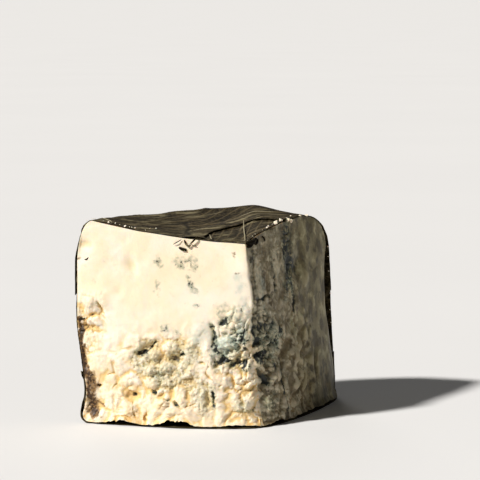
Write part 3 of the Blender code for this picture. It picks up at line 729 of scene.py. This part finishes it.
def cut_face(points, edge):
    """A grid between the nose edge and the skin's border at one cut, still flat."""
    top = points[:FACE_COLUMNS + 1]
    rim = points[FACE_COLUMNS:FACE_COLUMNS + FACE_ROWS + 1]
    base = points[::-1][:FACE_COLUMNS + 1]
    x = np.linspace(0.0, 1.0, FACE_COLUMNS + 1)[:, None, None]
    y = np.linspace(0.0, 1.0, FACE_ROWS + 1)[None, :, None]
    grid = mix(top[:, None], base[:, None], y) + mix(edge[None], rim[None], x)
    corners = mix(mix(top[0], base[0], y), mix(top[-1], base[-1], y), x)
    grid = grid - corners
    s = np.hypot(grid[..., 0] - edge[None, :, 0], grid[..., 1] - edge[None, :, 1])
    wear_x, wear_y = nose_wear(grid[..., 2])
    near = np.exp(-(s / NOSE_WEAR_REACH) ** 2)
    grid[..., 0] += wear_x * near
    grid[..., 1] += wear_y * near
    return grid, s, grid[..., 2], x[..., 0], y[..., 0]


def gap_rise(s, cut):
    """How far the lower border of a cut rises off the base leaf, along s."""
    line = np.stack([s, 0.0 * s, 0.0 * s + cut.seed], axis=-1)
    rise = 0.0 * s
    for at_s, long, height in cut.gaps:
        rise = rise + height * np.exp(-((s - at_s) / long) ** 2)
    return rise * (0.8 + 0.7 * layered_noise(line, 5.0, cut.seed + 73)
                   + 0.6 * layered_noise(line, 1.8, cut.seed + 77))


def add_relief(flat, cut):
    """A cut face with its full relief and its colour masks."""
    grid, s, z, x, y = flat
    bent_s = s + 1.7 * layered_noise(grid, 3.0, cut.seed + 61)
    bent_z = z + 1.7 * layered_noise(grid, 3.0, cut.seed + 65)
    height, crumbly, broken = cut.relief(grid, s, z)
    height = height - patches(bent_s, bent_z, cut.holes)
    fine, creases, granular = fine_relief(grid, s, z, crumbly, broken, cut)
    height = height + fine
    masks = face_masks(grid, bent_s, bent_z, height, crumbly, creases, cut)
    masks["granular"] = granular
    # This mask picks the darker paste of the right cut, which is painted shade.
    masks["dry"] = cut.dry * smooth(s, 0.0, 1.5)
    masks["place"] = s
    masks["mould"] = masks["mould"] - 0.15 * cut.dry * smooth(s, 48.0, 60.0)
    from_nose = smooth(x * WHEEL_RADIUS, 0.0, 1.6)
    from_rim = smooth((1.0 - x) * WHEEL_RADIUS, 0.0, 4.0)
    from_ends = smooth(np.minimum(y, 1.0 - y) * NOSE_HEIGHT, -0.6, 2.0)
    height = height * from_nose * from_rim * from_ends
    moved = grid + height[..., None] * cut.out
    near_foot = np.exp(-(z / GAP_REACH) ** 2)
    moved[..., 2] += gap_rise(s, cut) * near_foot * from_nose * from_rim
    blunt = NOSE_BLUNT * (1.0 - smooth(z, *NOSE_BLUNT_BELOW)) * smooth(z, 1.0, 8.0)
    moved[..., 1] += blunt * np.exp(-(s / NOSE_BLUNT_REACH) ** 2)
    return moved, masks


def grid_faces(numbers):
    """Quads over a grid of point numbers."""
    a, b = numbers[:-1, :-1], numbers[1:, :-1]
    c, d = numbers[1:, 1:], numbers[:-1, 1:]
    return np.stack([a, b, c, d], axis=-1).reshape(-1, 4)


def add_mesh(name, points, quads, triangles, masks):
    """A smooth mesh object from points in millimetres, with a value per point for each mask."""
    mesh = bpy.data.meshes.new(name)
    corners = np.concatenate([quads.ravel(), triangles.ravel()])
    sizes = np.concatenate([np.full(len(quads), 4), np.full(len(triangles), 3)])
    mesh.vertices.add(len(points))
    mesh.vertices.foreach_set("co", (points * MM).astype(np.float32).ravel())
    mesh.loops.add(len(corners))
    mesh.loops.foreach_set("vertex_index", corners.astype(np.int32))
    mesh.polygons.add(len(sizes))
    starts = np.concatenate([[0], np.cumsum(sizes)[:-1]])
    mesh.polygons.foreach_set("loop_start", starts.astype(np.int32))
    mesh.update(calc_edges=True)
    for mask, values in masks.items():
        layer = mesh.attributes.new(mask, "FLOAT", "POINT")
        layer.data.foreach_set("value", values.astype(np.float32).ravel())
    mesh.validate()
    mesh.shade_smooth()
    thing = bpy.data.objects.new(name, mesh)
    bpy.context.scene.collection.objects.link(thing)
    return thing


def merge_points(thing, distance):
    """Join points closer than distance, in metres."""
    shape = bmesh.new()
    shape.from_mesh(thing.data)
    bmesh.ops.remove_doubles(shape, verts=shape.verts, dist=distance)
    bmesh.ops.recalc_face_normals(shape, faces=shape.faces)
    shape.to_mesh(thing.data)
    shape.free()


def face_border(face):
    """The border of a displaced cut face, in the order of the skin's columns."""
    return np.concatenate([face[:, 0], face[-1, 1:], face[-2::-1, -1]])


def undercut(back, border, end, step):
    """Give the skin its border at one cut, and carry the border's rise on underneath."""
    rise = border[:, 2] - back[end, :, 2]
    for k, share in enumerate(UNDERCUT, start=1):
        back[end + k * step, :, 2] += share * rise
    back[end] = border


# One cut: the way out of it, its large relief, its lists, how much it takes the darker paste of
# the shaded side, which is painted shade, and its seed
Cut = namedtuple("Cut", "out relief mould bloom stain granular holes gaps dry seed")


def make_paste():
    """The cheese itself: both cut faces with all their relief, and its hidden skin."""
    back = paste_skin()
    edge = nose_edge(back[0, 0], back[0, -1])
    right_cut = Cut(RIGHT_OUT, right_relief, RIGHT_MOULD, RIGHT_BLOOM, RIGHT_STAIN,
                    RIGHT_GRANULAR, RIGHT_HOLES, RIGHT_GAPS, dry=1.0, seed=101)
    left_cut = Cut(LEFT_OUT, left_relief, LEFT_MOULD, LEFT_BLOOM, LEFT_STAIN,
                   LEFT_GRANULAR, LEFT_HOLES, LEFT_GAPS, dry=0.0, seed=201)
    right, right_masks = add_relief(cut_face(back[0], edge), right_cut)
    left, left_masks = add_relief(cut_face(back[-1], edge), left_cut)
    undercut(back, face_border(right), 0, 1)
    undercut(back, face_border(left), -1, -1)
    points, quads, start = [], [], 0
    for grid in (back, right, left):
        numbers = np.arange(grid.shape[0] * grid.shape[1]).reshape(grid.shape[:2]) + start
        start += numbers.size
        points.append(grid.reshape(-1, 3))
        quads.append(grid_faces(numbers))
    masks = {}
    for name in left_masks:
        skin_mask = np.full(back.shape[:2], 1.0 if name in ("stain", "dry") else 0.0)
        skin_mask[0] = face_border(right_masks[name])
        skin_mask[-1] = face_border(left_masks[name])
        parts = (skin_mask, right_masks[name], left_masks[name])
        masks[name] = np.concatenate([part.ravel() for part in parts])
    paste = add_mesh("cheese_paste", np.vstack(points), np.vstack(quads), NO_TRIANGLES, masks)
    merge_points(paste, PASTE_WELD)
    paste.data.set_sharp_from_angle(angle=math.radians(60.0))
    return paste


def vein_map(x, y, ribs):
    """Ribs of one leaf on its unrolled sheet: 1 on a rib, falling to 0 beside it."""
    ca, sa = math.cos(math.radians(ribs.heading)), math.sin(math.radians(ribs.heading))
    along = (x - ribs.start[0]) * ca + (y - ribs.start[1]) * sa
    across = -(x - ribs.start[0]) * sa + (y - ribs.start[1]) * ca
    flat = np.stack([x, y, 0.0 * x], axis=-1)
    seed = ribs.seed
    across = across + 1.6 * layered_noise(flat, 22.0, seed)
    side = np.where(across > 0.0, 0.0, 0.37)
    off = np.abs(across)
    angle = math.radians(ribs.angle)
    place = (along - off / math.tan(angle) - ribs.bend * off ** 2) / ribs.spacing + side
    place = place + 0.18 * noise(flat, 19.0, seed + 5)
    gap = np.abs(place - np.round(place)) * ribs.spacing * math.sin(angle)
    middle = np.exp(-(off / 0.9) ** 2)
    side_ribs = 0.8 * np.exp(-(gap / 0.45) ** 2)
    net_edge = cells(warped(flat, 5.0, 1.2, seed + 7), 3.2, seed + 11)[0]
    net = 0.42 * (1.0 - smooth(net_edge, 0.0, 0.16))
    fine_edge = cells(flat, 1.5, seed + 15)[0]
    fine = 0.16 * (1.0 - smooth(fine_edge, 0.0, 0.25))
    grain = np.stack([along * 0.12, across, 0.0 * x], axis=-1)
    streak = layered_noise(grain, 1.6, seed + 19)
    return np.maximum.reduce([middle, side_ribs, net, fine]), streak


def folds(x, y, lines):
    """Creases on a sheet: each has its two ends, its width and its depth."""
    total = np.zeros(x.shape)
    for x0, y0, x1, y1, width, depth in lines:
        length = math.hypot(x1 - x0, y1 - y0)
        along = ((x - x0) * (x1 - x0) + (y - y0) * (y1 - y0)) / length
        across = (-(x - x0) * (y1 - y0) + (y - y0) * (x1 - x0)) / length
        across = across + 0.8 * np.sin(along * 0.35)
        ends = smooth(along, -1.0, 3.0) * smooth(length - along, -1.0, 3.0)
        total = total + depth * ends * np.exp(-(across / width) ** 2)
    return total


def make_leaf(name, u, w, depth, sheet, ribs, relief, creases=()):
    """A leaf as a closed thin sheet, with ribs that stand out to the plain leaf's face."""
    flat_x, flat_y = sheet(u, w)
    vein, streak = vein_map(flat_x, flat_y, ribs)
    flat = np.stack([flat_x, flat_y, 0.0 * flat_x], axis=-1)
    # The creases sink the leaf and also darken it, as painted shade.
    fold_depth_and_shade = folds(flat_x, flat_y, creases)
    sunk = relief.buckles * (0.5 + 0.5 * layered_noise(flat, 8.0, ribs.seed + 31)) + fold_depth_and_shade
    carved = relief.ribs * (1.0 - vein) + relief.fibres * (0.5 - 0.5 * streak)
    outer_depth = depth - LEAF_THICK / 2 + np.minimum(sunk + carved, LEAF_THICK)
    inner_depth = np.maximum(depth + LEAF_THICK / 2, outer_depth + THINNEST_LEAF)
    points = [skin(u, w, part).reshape(-1, 3) for part in (outer_depth, inner_depth)]
    numbers = np.arange(u.size).reshape(u.shape)
    top = grid_faces(numbers)
    under = top[:, ::-1] + u.size
    border = np.concatenate([numbers[0, :], numbers[1:, -1],
                             numbers[-1, -2::-1], numbers[-2:0:-1, 0]])
    after = np.roll(border, -1)
    sides = np.stack([border, border + u.size, after + u.size, after], axis=-1)
    bands = flat * np.array([0.45, 1.0, 1.0])
    tone = layered_noise(bands, 11.0, ribs.seed + 43) + 0.45 * smooth(u, 0.65, 0.95)
    masks = {"vein": vein, "streak": streak, "tone": tone, "fold_depth_and_shade": fold_depth_and_shade}
    masks = {key: np.tile(value.ravel(), 2) for key, value in masks.items()}
    leaf = add_mesh(name, np.vstack(points), np.vstack([top, under, sides]), NO_TRIANGLES, masks)
    merge_points(leaf, LEAF_WELD)
    return leaf


def sheet_grid(columns, u_start, u_end, lines, rows):
    """Grid of u and w over lines w(u), with a count of rows between each two lines."""
    u = np.linspace(u_start, u_end, columns + 1)[:, None]
    w = [lines[0](u)]
    for line, next_line, count in zip(lines, lines[1:], rows):
        along = np.linspace(0.0, 1.0, count + 1)[None, 1:]
        w.append(mix(line(u), next_line(u), along))
    w = np.hstack(w)
    return u + 0.0 * w, w


def ragged_ends(u, w, torn, seed):
    """Draw the cut edges of a leaf back unevenly, torn at most so far right and left."""
    line = np.stack([0.0 * w, w, u * 50.0], axis=-1)
    rough = 0.5 + 0.5 * layered_noise(line, 3.0, seed)
    notch = smooth(noise(line, 12.0, seed + 5), 0.0, 0.5)
    back = 0.6 * rough * np.where(u < 0.5, 0.3, 1.0)
    back = back + notch * np.where(u < 0.5, torn[0], torn[1])
    swing = smooth(np.abs(u - 0.5), 0.40, 0.5) * np.sign(u - 0.5)
    radius = np.maximum(np.minimum(w, WHEEL_RADIUS), 12.0)
    return u - swing * back / radius / (LEFT_CUT - RIGHT_CUT)


def raised_by_lap(u):
    """How far an outer leaf is lifted where the two side leaves overlap."""
    return LEAF_PITCH * smooth(np.abs(u - SIDE_LEAF_MEET), 0.14, SIDE_LEAF_LAP + 0.01)


def teeth(u, pitch, height, seed):
    """Saw teeth of a leaf's outline along a line in u."""
    arc = u * WHEEL_RADIUS * (LEFT_CUT - RIGHT_CUT)
    line = np.stack([arc, 0.0 * arc, 0.0 * arc], axis=-1)
    place = arc / pitch + 0.5 * noise(line, 11.0, seed)
    saw = place - np.floor(place)
    return height * (saw * (1.0 - saw ** 6) - 0.45) * (0.8 + 0.5 * noise(line, 7.0, seed + 1))


def nose_line(u):
    return 0.0 * u


def top_leaf_edge(u):
    """The large leaf's front edge, nearer the nose on the left."""
    nearer = smooth(u, *TOP_LEAF_EDGE_TURN)
    edge = mix(TOP_LEAF_EDGE_RIGHT, TOP_LEAF_EDGE_LEFT, nearer)
    return edge + teeth(u, 5.0, 0.8, 301)


def front_leaf_edge(u):
    return top_leaf_edge(u) + FRONT_LEAF_LAP + np.sin(9.0 * u)


def front_leaf_lap_end(u):
    return front_leaf_edge(u) + LAP_SLOPE


def part_end(part):
    """The line w(u) along which a named part of the skin ends."""
    return lambda u: getattr(skin_lengths(u), part)


def top_leaf_hem(u):
    hang = TOP_LEAF_HANG + TOP_LEAF_LOBE * np.sin(21.0 * u)
    return skin_at_height(u, hang - teeth(u, 4.6, 2.0, 311))


def side_leaf_top(u):
    return skin_at_height(u, SIDE_LEAF_TOP + SIDE_LEAF_LOBE * np.sin(11.0 * u))


def side_leaf_foot(u):
    return skin_at_height(u, SIDE_LEAF_FOOT + SIDE_LEAF_LOBE * np.sin(17.0 * u))


def base_leaf_fold(u):
    fold_depth_and_shade = BASE_LEAF_FOLD + BASE_LEAF_LOBE * np.sin(19.0 * u)
    return skin_at_height(u, fold_depth_and_shade + teeth(u, 5.2, 2.0, 321))


def plan_sheet(u, w):
    """The top leaf laid flat: level places round the nose, straight on over the shoulder."""
    turn = mix(RIGHT_CUT, LEFT_CUT, u)
    return w * np.cos(turn), w * np.sin(turn)


def side_sheet(u, w):
    """A leaf of the back laid flat: arc length round the rim and distance down."""
    return u * WHEEL_RADIUS * (LEFT_CUT - RIGHT_CUT), -w


def make_leaves():
    """All five leaves, each in place of its plain one."""
    made = {}
    u, w = sheet_grid(110, 0.0, 1.0, (nose_line, front_leaf_edge), (80,))
    u = ragged_ends(u, w, TOP_TORN, 331)
    made["leaf_top_front"] = make_leaf("nose_leaf", u, w, 0.5 * LEAF_PITCH, plan_sheet,
                                       NOSE_RIBS, TOP_RELIEF, NOSE_FOLDS)
    lines = (top_leaf_edge, front_leaf_lap_end, part_end("top"), part_end("shoulder"),
             top_leaf_hem)
    u, w = sheet_grid(230, 0.0, 1.0, lines, (24, 50, 44, 30))
    over_front = 1.0 - smooth(w - front_leaf_edge(u), 0.5, LAP_SLOPE)
    lift = LEAF_PITCH * over_front + raised_by_lap(u) * smooth(w, 55.0, 85.0)
    u = ragged_ends(u, w, HANGING_TORN, 341)
    made["leaf_top"] = make_leaf("top_leaf", u, w, 0.5 * LEAF_PITCH - lift, plan_sheet,
                                 TOP_RIBS, TOP_RELIEF, TOP_FOLDS)
    lines = (side_leaf_top, side_leaf_foot)
    u, w = sheet_grid(120, SIDE_LEAF_MEET - SIDE_LEAF_LAP, 1.0, lines, (100,))
    u = ragged_ends(u, w, SIDE_TORN, 351)
    made["leaf_side_left"] = make_leaf("left_leaf", u, w, 1.5 * LEAF_PITCH, side_sheet,
                                       LEFT_RIBS, SIDE_RELIEF)
    u, w = sheet_grid(130, 0.0, SIDE_LEAF_MEET + SIDE_LEAF_LAP, lines, (100,))
    u = ragged_ends(u, w, SIDE_TORN, 361)
    depth = 1.5 * LEAF_PITCH - raised_by_lap(u)
    made["leaf_side_right"] = make_leaf("right_leaf", u, w, depth, side_sheet,
                                        RIGHT_RIBS, SIDE_RELIEF)
    lines = (base_leaf_fold, part_end("back"), part_end("foot"), part_end("end"))
    u, w = sheet_grid(230, 0.0, 1.0, lines, (44, 14, 30))
    on_side = smooth(skin_lengths(u).foot - w, 0.0, 12.0)
    depth = mix(0.5 * LEAF_THICK, 0.5 * LEAF_PITCH, on_side) - raised_by_lap(u) * on_side
    u = ragged_ends(u, w, BASE_TORN, 371)
    made["leaf_base"] = make_leaf("base_leaf", u, w, depth, side_sheet, BASE_RIBS, BASE_RELIEF)
    return made


def tube(path, radius, sides=7):
    """A round twig or thread through some points, tapered at both ends."""
    path = np.array(path)
    knots = np.linspace(0.0, 1.0, len(path))
    t = np.linspace(0.0, 1.0, 6 * len(path))
    line = np.stack([np.interp(t, knots, path[:, k]) for k in range(3)], axis=-1)
    for _ in range(3):
        line[1:-1] = (line[:-2] + 2.0 * line[1:-1] + line[2:]) / 4.0
    ahead = np.gradient(line, axis=0)
    ahead /= np.linalg.norm(ahead, axis=1)[:, None]
    side = np.cross(ahead, np.array([0.3, 0.2, 0.93]))
    side /= np.linalg.norm(side, axis=1)[:, None]
    up = np.cross(side, ahead)
    taper = radius * (0.25 + 0.75 * np.sin(math.pi * t) ** 0.4)
    turn = np.linspace(0.0, 2.0 * math.pi, sides, endpoint=False)[:, None]
    rings = (line[:, None] + taper[:, None, None] * (np.cos(turn) * side[:, None]
                                                     + np.sin(turn) * up[:, None]))
    numbers = np.arange(len(line) * sides).reshape(len(line), sides)
    quads = grid_faces(np.hstack([numbers, numbers[:, :1]]))
    ends = [[row[0], row[k], row[k + 1]] for row in (numbers[0], numbers[-1])
            for k in range(1, sides - 1)]
    return rings.reshape(-1, 3), quads, np.array(ends)


def blob(centre, radius, seed):
    """An uneven crumb."""
    shape = bmesh.new()
    bmesh.ops.create_icosphere(shape, subdivisions=3, radius=1.0)
    points = np.array([vert.co[:] for vert in shape.verts])
    faces = np.array([[vert.index for vert in face.verts] for face in shape.faces])
    shape.free()
    bumps = 0.75 * layered_noise(points + 7.0 * seed, 0.8, 501)
    flat = np.array([1.0, 1.0, 0.75])
    return centre + radius * points * flat * (1.0 + bumps)[:, None], faces


def over_cut(u, outward, path):
    """Points over a plain cut, at the rim's place u, from s, z and distance out of it."""
    return [wedge_point(np.array(u), np.array(s / WHEEL_RADIUS), np.array(z)) + out * outward
            for s, z, out in path]


def on_skin(u, w, lift):
    return skin(np.array(u), np.array(w), np.array(-lift))


def joined(name, shapes):
    """One mesh object out of several sets of points, quads and triangles."""
    points, quads, triangles, start = [], [], [], 0
    for shape_points, shape_quads, shape_triangles in shapes:
        points.append(shape_points)
        quads.append(shape_quads + start)
        triangles.append(shape_triangles + start)
        start += len(shape_points)
    return add_mesh(name, np.vstack(points), np.vstack(quads), np.vstack(triangles), {})


def make_scraps():
    """Twigs and torn bits of leaf that hang over the cuts."""
    left = [tube(over_cut(1.0, LEFT_OUT, path), radius) for radius, path in LEFT_TWIGS]
    right = [tube(over_cut(0.0, RIGHT_OUT, path), radius) for radius, path in RIGHT_TWIGS]
    return joined("leaf_scraps", left + right)


def make_fibres():
    """Pale fibres that lie across the top leaves."""
    return joined("pale_fibres", [tube([on_skin(*p) for p in path], radius)
                                  for radius, path in FIBRES])


def make_crumbs():
    """Crumbs of paste along the edges of the top leaves and in the gap by the back."""
    shapes = []
    for k, (u, w, lift, radius) in enumerate(CRUMBS):
        points, faces = blob(on_skin(u, w, lift), radius, k)
        shapes.append((points, NO_QUADS, faces))
    chance = np.random.default_rng(7)
    for k in range(SMALL_CRUMBS):
        at_left = k % 3 > 0
        u = chance.uniform(0.988, 1.0) if at_left else chance.uniform(0.0, 0.02)
        w = chance.uniform(50.0, 86.0) if at_left else chance.uniform(8.0, 44.0)
        radius = chance.uniform(0.10, 0.28)
        points, faces = blob(on_skin(u, w, 0.1 * radius), radius, 40 + k)
        shapes.append((points, NO_QUADS, faces))
    return joined("loose_crumbs", shapes)


class Paint:
    """A procedural material, with short ways to its shader nodes."""

    def __init__(self, name):
        self.material = bpy.data.materials.new(name)
        self.material.use_nodes = True
        self.tree = self.material.node_tree

    def feed(self, made, inputs):
        """Link or set each input of a shader node."""
        for key, value in inputs.items():
            if isinstance(value, bpy.types.NodeSocket):
                self.tree.links.new(value, made.inputs[key])
            else:
                made.inputs[key].default_value = value

    def node(self, kind, inputs, **settings):
        made = self.tree.nodes.new(kind)
        for key, value in settings.items():
            setattr(made, key, value)
        self.feed(made, inputs)
        return made

    def mask(self, name):
        return self.node("ShaderNodeAttribute", {}, attribute_name=name).outputs["Fac"]

    def maths(self, operation, a, b, clamp=False):
        return self.node("ShaderNodeMath", {0: a, 1: b}, operation=operation,
                         use_clamp=clamp).outputs[0]

    def fade(self, value, low, high):
        """0 below low and 1 above high, with a smooth rise between."""
        inputs = {"Value": value, "From Min": low, "From Max": high}
        return self.node("ShaderNodeMapRange", inputs,
                         interpolation_type="SMOOTHSTEP").outputs["Result"]

    def noise(self, scale, detail=3.0, roughness=0.55, stretch=(1.0, 1.0, 1.0)):
        """Noise over the object's own coordinates, with scale in bumps per metre."""
        place = self.node("ShaderNodeTexCoord", {}).outputs["Object"]
        stretched = self.node("ShaderNodeMapping", {"Vector": place, "Scale": stretch}).outputs[0]
        inputs = {"Vector": stretched, "Scale": scale, "Detail": detail, "Roughness": roughness}
        return self.node("ShaderNodeTexNoise", inputs).outputs["Fac"]

    def speckled(self, name, noise, amount, low, high):
        """A mask of the mesh, broken up by a noise and then cut off softly."""
        off = self.maths("MULTIPLY", self.maths("SUBTRACT", noise, 0.5), amount)
        return self.fade(self.maths("ADD", self.mask(name), off), low, high)

    def blend(self, factor, first, second, how="MIX"):
        first, second = (colour if isinstance(colour, bpy.types.NodeSocket) else (*colour, 1.0)
                         for colour in (first, second))
        return self.node("ShaderNodeMix", {0: factor, 6: first, 7: second}, data_type="RGBA",
                         blend_type=how).outputs[2]

    def tinted(self, colour, mask, share, tint, how="MIX"):
        """A colour with a tint laid over it where the mask is, up to a share."""
        return self.blend(self.maths("MULTIPLY", mask, share), colour, tint, how)

    def bump(self, height, strength, distance):
        inputs = {"Height": height, "Strength": strength, "Distance": distance}
        return self.node("ShaderNodeBump", inputs).outputs[0]

    def finished(self, inputs):
        """The material, once its shader has these inputs."""
        self.feed(self.tree.nodes["Principled BSDF"], inputs)
        return self.material


def shaded_side_paste(paint, blots):
    """The shaded right cut's paste: the cream painted darker and browner as painted shade, dull
    and streaky, dark in its hollows as painted shade, pale on its ridges as a painted highlight,
    darker by the rim.
    """
    streaks = paint.noise(150.0, detail=4.0, stretch=(1.0, 1.0, 0.6))
    mottles = paint.noise(170.0, detail=4.0, stretch=(1.0, 1.0, 0.8))
    colour = paint.blend(paint.fade(streaks, 0.36, 0.64), (0.228, 0.190, 0.110),
                         (0.385, 0.334, 0.222))
    colour = paint.blend(paint.fade(mottles, 0.50, 0.62), colour, (0.13, 0.105, 0.06))
    colour = paint.blend(paint.fade(mottles, 0.46, 0.34), colour, (0.60, 0.53, 0.37))
    # Painted shade: dark brown in the hollows.
    hollows = paint.speckled("low", blots, 2.4, 0.0, 0.85)
    colour = paint.tinted(colour, hollows, 0.85, (0.085, 0.072, 0.045))
    # Painted highlight: pale on the raised ridges.
    ridge_highlight = paint.fade(paint.mask("low"), -0.05, -0.6)
    colour = paint.tinted(colour, ridge_highlight, 0.65, (0.64, 0.56, 0.40))
    by_rim = paint.fade(paint.mask("place"), 15.0, 60.0)
    return paint.blend(by_rim, colour, (0.73, 0.725, 0.58), "MULTIPLY")


def paste_material():
    """Cream paste: golden creases, blue-black mould with a pale bloom, brown stains. The dark
    pits, the brown creases and part of the gold are painted shade, and the right cut's darker
    paste is painted shade.
    """
    paint = Paint("cheese")
    clouds = paint.fade(paint.noise(60.0), 0.35, 0.65)
    grain = paint.noise(900.0, detail=4.0, roughness=0.65)
    blots = paint.noise(330.0, detail=4.0, roughness=0.6)
    noises = {"grain": grain, "blots": blots}
    dry = paint.mask("dry")
    colour = paint.blend(clouds, (0.86, 0.73, 0.53), (0.88, 0.78, 0.64))
    # Painted shade: a yellow-olive tint in the hollows.
    sunk = paint.fade(paint.mask("low"), 0.0, 0.7)
    colour = paint.tinted(colour, sunk, 0.55, (0.74, 0.62, 0.34))
    # Painted shade: the right cut takes the darker paste of the shaded side.
    colour = paint.blend(dry, colour, shaded_side_paste(paint, blots))
    # The golden tint is kept mostly to the lit cut.
    on_lit_side = paint.maths("SUBTRACT", 1.0, paint.maths("MULTIPLY", 0.88, dry))
    # Painted shade in part: the golden tint is strongest in the hollows and creases.
    gold_and_shade = paint.speckled("gold_and_shade", blots, 0.7, 0.02, 1.1)
    colour = paint.tinted(colour, gold_and_shade, on_lit_side, (0.78, 0.53, 0.22))
    green = paint.speckled("granular", blots, 0.8, 0.35, 1.2)
    colour = paint.tinted(colour, green, 0.5, (0.50, 0.50, 0.33))
    # Painted shade: brown in the creases and cracks of the curds.
    crease = paint.maths("MULTIPLY", paint.mask("crease"), grain, clamp=True)
    colour = paint.blend(crease, colour, (0.34, 0.22, 0.09))
    for mask, noise_name, amount, low, high, share, tint, how in PASTE_LAYERS:
        layer = paint.speckled(mask, noises[noise_name], amount, low, high)
        colour = paint.tinted(colour, layer, share, tint, how)
    return paint.finished({
        "Base Color": colour, "Roughness": 0.5, "Specular IOR Level": 0.35,
        "Subsurface Weight": 0.25, "Subsurface Radius": (1.0, 0.62, 0.34),
        "Subsurface Scale": 0.0016, "Normal": paint.bump(grain, 0.35, 0.0003),
    })


def leaf_material():
    """Dried leaf: dark brown with lighter ribs, olive patches and fine fibres, with painted shade
    along its creases.
    """
    paint = Paint("dried_leaf")
    patch = paint.fade(paint.noise(70.0, detail=4.0), 0.35, 0.65)
    fibre = paint.noise(260.0, detail=5.0, roughness=0.7, stretch=(0.25, 1.0, 1.0))
    speck = paint.noise(1400.0, detail=2.0)
    colour = paint.blend(patch, (0.007, 0.005, 0.002), (0.026, 0.020, 0.008))
    streak = paint.fade(paint.mask("streak"), 0.2, 0.75)
    colour = paint.tinted(colour, streak, 0.75, (0.32, 0.275, 0.160))
    thread = paint.fade(fibre, 0.53, 0.70)
    colour = paint.tinted(colour, thread, 0.85, (0.29, 0.25, 0.145))
    tone = paint.fade(paint.mask("tone"), 0.28, -0.24)
    colour = paint.tinted(colour, tone, 0.95, (0.30, 0.28, 0.25), "MULTIPLY")
    vein = paint.maths("MULTIPLY", paint.mask("vein"), paint.maths("ADD", 0.15, speck),
                       clamp=True)
    colour = paint.blend(vein, colour, (0.17, 0.13, 0.070))
    # Painted shade: nearly black along the leaf's creases.
    fold_depth_and_shade = paint.maths("MULTIPLY", paint.mask("fold_depth_and_shade"), 0.9, clamp=True)
    colour = paint.blend(fold_depth_and_shade, colour, (0.010, 0.008, 0.004))
    rough = paint.maths("ADD", 0.5, paint.maths("MULTIPLY", fibre, 0.35))
    return paint.finished({"Base Color": colour, "Roughness": rough, "Specular IOR Level": 0.06,
                           "Normal": paint.bump(fibre, 0.6, 0.0005)})


def fibre_material():
    """Bleached plant fibre."""
    paint = Paint("pale_fibre")
    colour = paint.blend(paint.noise(700.0), (0.24, 0.20, 0.11), (0.42, 0.38, 0.25))
    return paint.finished({"Base Color": colour, "Roughness": 0.7})


def floor_material():
    paint = Paint("pale_floor")
    colour = paint.blend(paint.noise(3.0), (0.74, 0.74, 0.74), (0.77, 0.77, 0.77))
    return paint.finished({"Base Color": colour, "Roughness": 0.9, "Specular IOR Level": 0.1})


def add_floor():
    """A plain pale floor, far wider than any view."""
    bpy.ops.mesh.primitive_plane_add(size=FLOOR_SIZE)
    floor = bpy.context.active_object
    floor.name = "floor"
    floor.data.materials.append(floor_material())


def to_part(x, y, z):
    """A place in the camera's turned axes, as one in the part's own axes and in metres."""
    ca, sa = math.cos(-VIEW_TURN), math.sin(-VIEW_TURN)
    return ((NOSE_AT[0] + x * ca - y * sa) * MM, (NOSE_AT[1] + x * sa + y * ca) * MM, z * MM)


def add_sun(name, place, softness, strength, colour):
    """A far light that shines on the wedge from a place in the camera's turned axes."""
    data = bpy.data.lights.new(name, "SUN")
    data.angle = math.radians(softness)
    data.energy = strength
    data.color = colour
    light = bpy.data.objects.new(name, data)
    light.location = to_part(*place)
    aim = Vector(to_part(0.0, 0.0, 0.0)) - light.location
    light.rotation_euler = aim.to_track_quat("-Z", "Y").to_euler()
    bpy.context.scene.collection.objects.link(light)


def add_lights():
    add_sun("key", (-1050.0, -640.0, 1080.0), 5.0, 4.85, (1.0, 0.97, 0.93))
    add_sun("back", (-300.0, 1400.0, 900.0), 20.0, 0.35, (1.0, 0.98, 0.95))
    world = bpy.data.worlds.new("studio")
    world.use_nodes = True
    sky = world.node_tree.nodes["Background"]
    sky.inputs["Color"].default_value = (1.0, 0.98, 0.95, 1.0)
    sky.inputs["Strength"].default_value = 0.06
    bpy.context.scene.world = world


def add_camera():
    data = bpy.data.cameras.new("camera")
    data.lens = CAMERA_LENS
    data.clip_end = CAMERA_SEES
    camera = bpy.data.objects.new("camera", data)
    camera.location = to_part(*CAMERA_OFFSET)
    camera.rotation_euler = (math.pi / 2 - CAMERA_PITCH, 0.0, -VIEW_TURN)
    bpy.context.scene.collection.objects.link(camera)
    bpy.context.scene.camera = camera


def place(piece, material, slot, stands_for):
    """Give a piece its material and its body, and hide the plain solid that it stands for."""
    piece.data.materials.append(material)
    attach(piece, "root")
    if stands_for:
        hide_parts(stands_for)


def main():
    add_camera()
    add_floor()
    add_lights()
    cheese = paste_material()
    leaf = leaf_material()
    place(make_paste(), cheese, "paste", "paste")
    place(make_crumbs(), cheese, "paste", None)
    for name, piece in make_leaves().items():
        place(piece, leaf, "leaf", name)
    place(make_scraps(), leaf, "leaf", None)
    place(make_fibres(), fibre_material(), "leaf", None)
    bpy.context.scene.view_settings.view_transform = "Standard"


main()
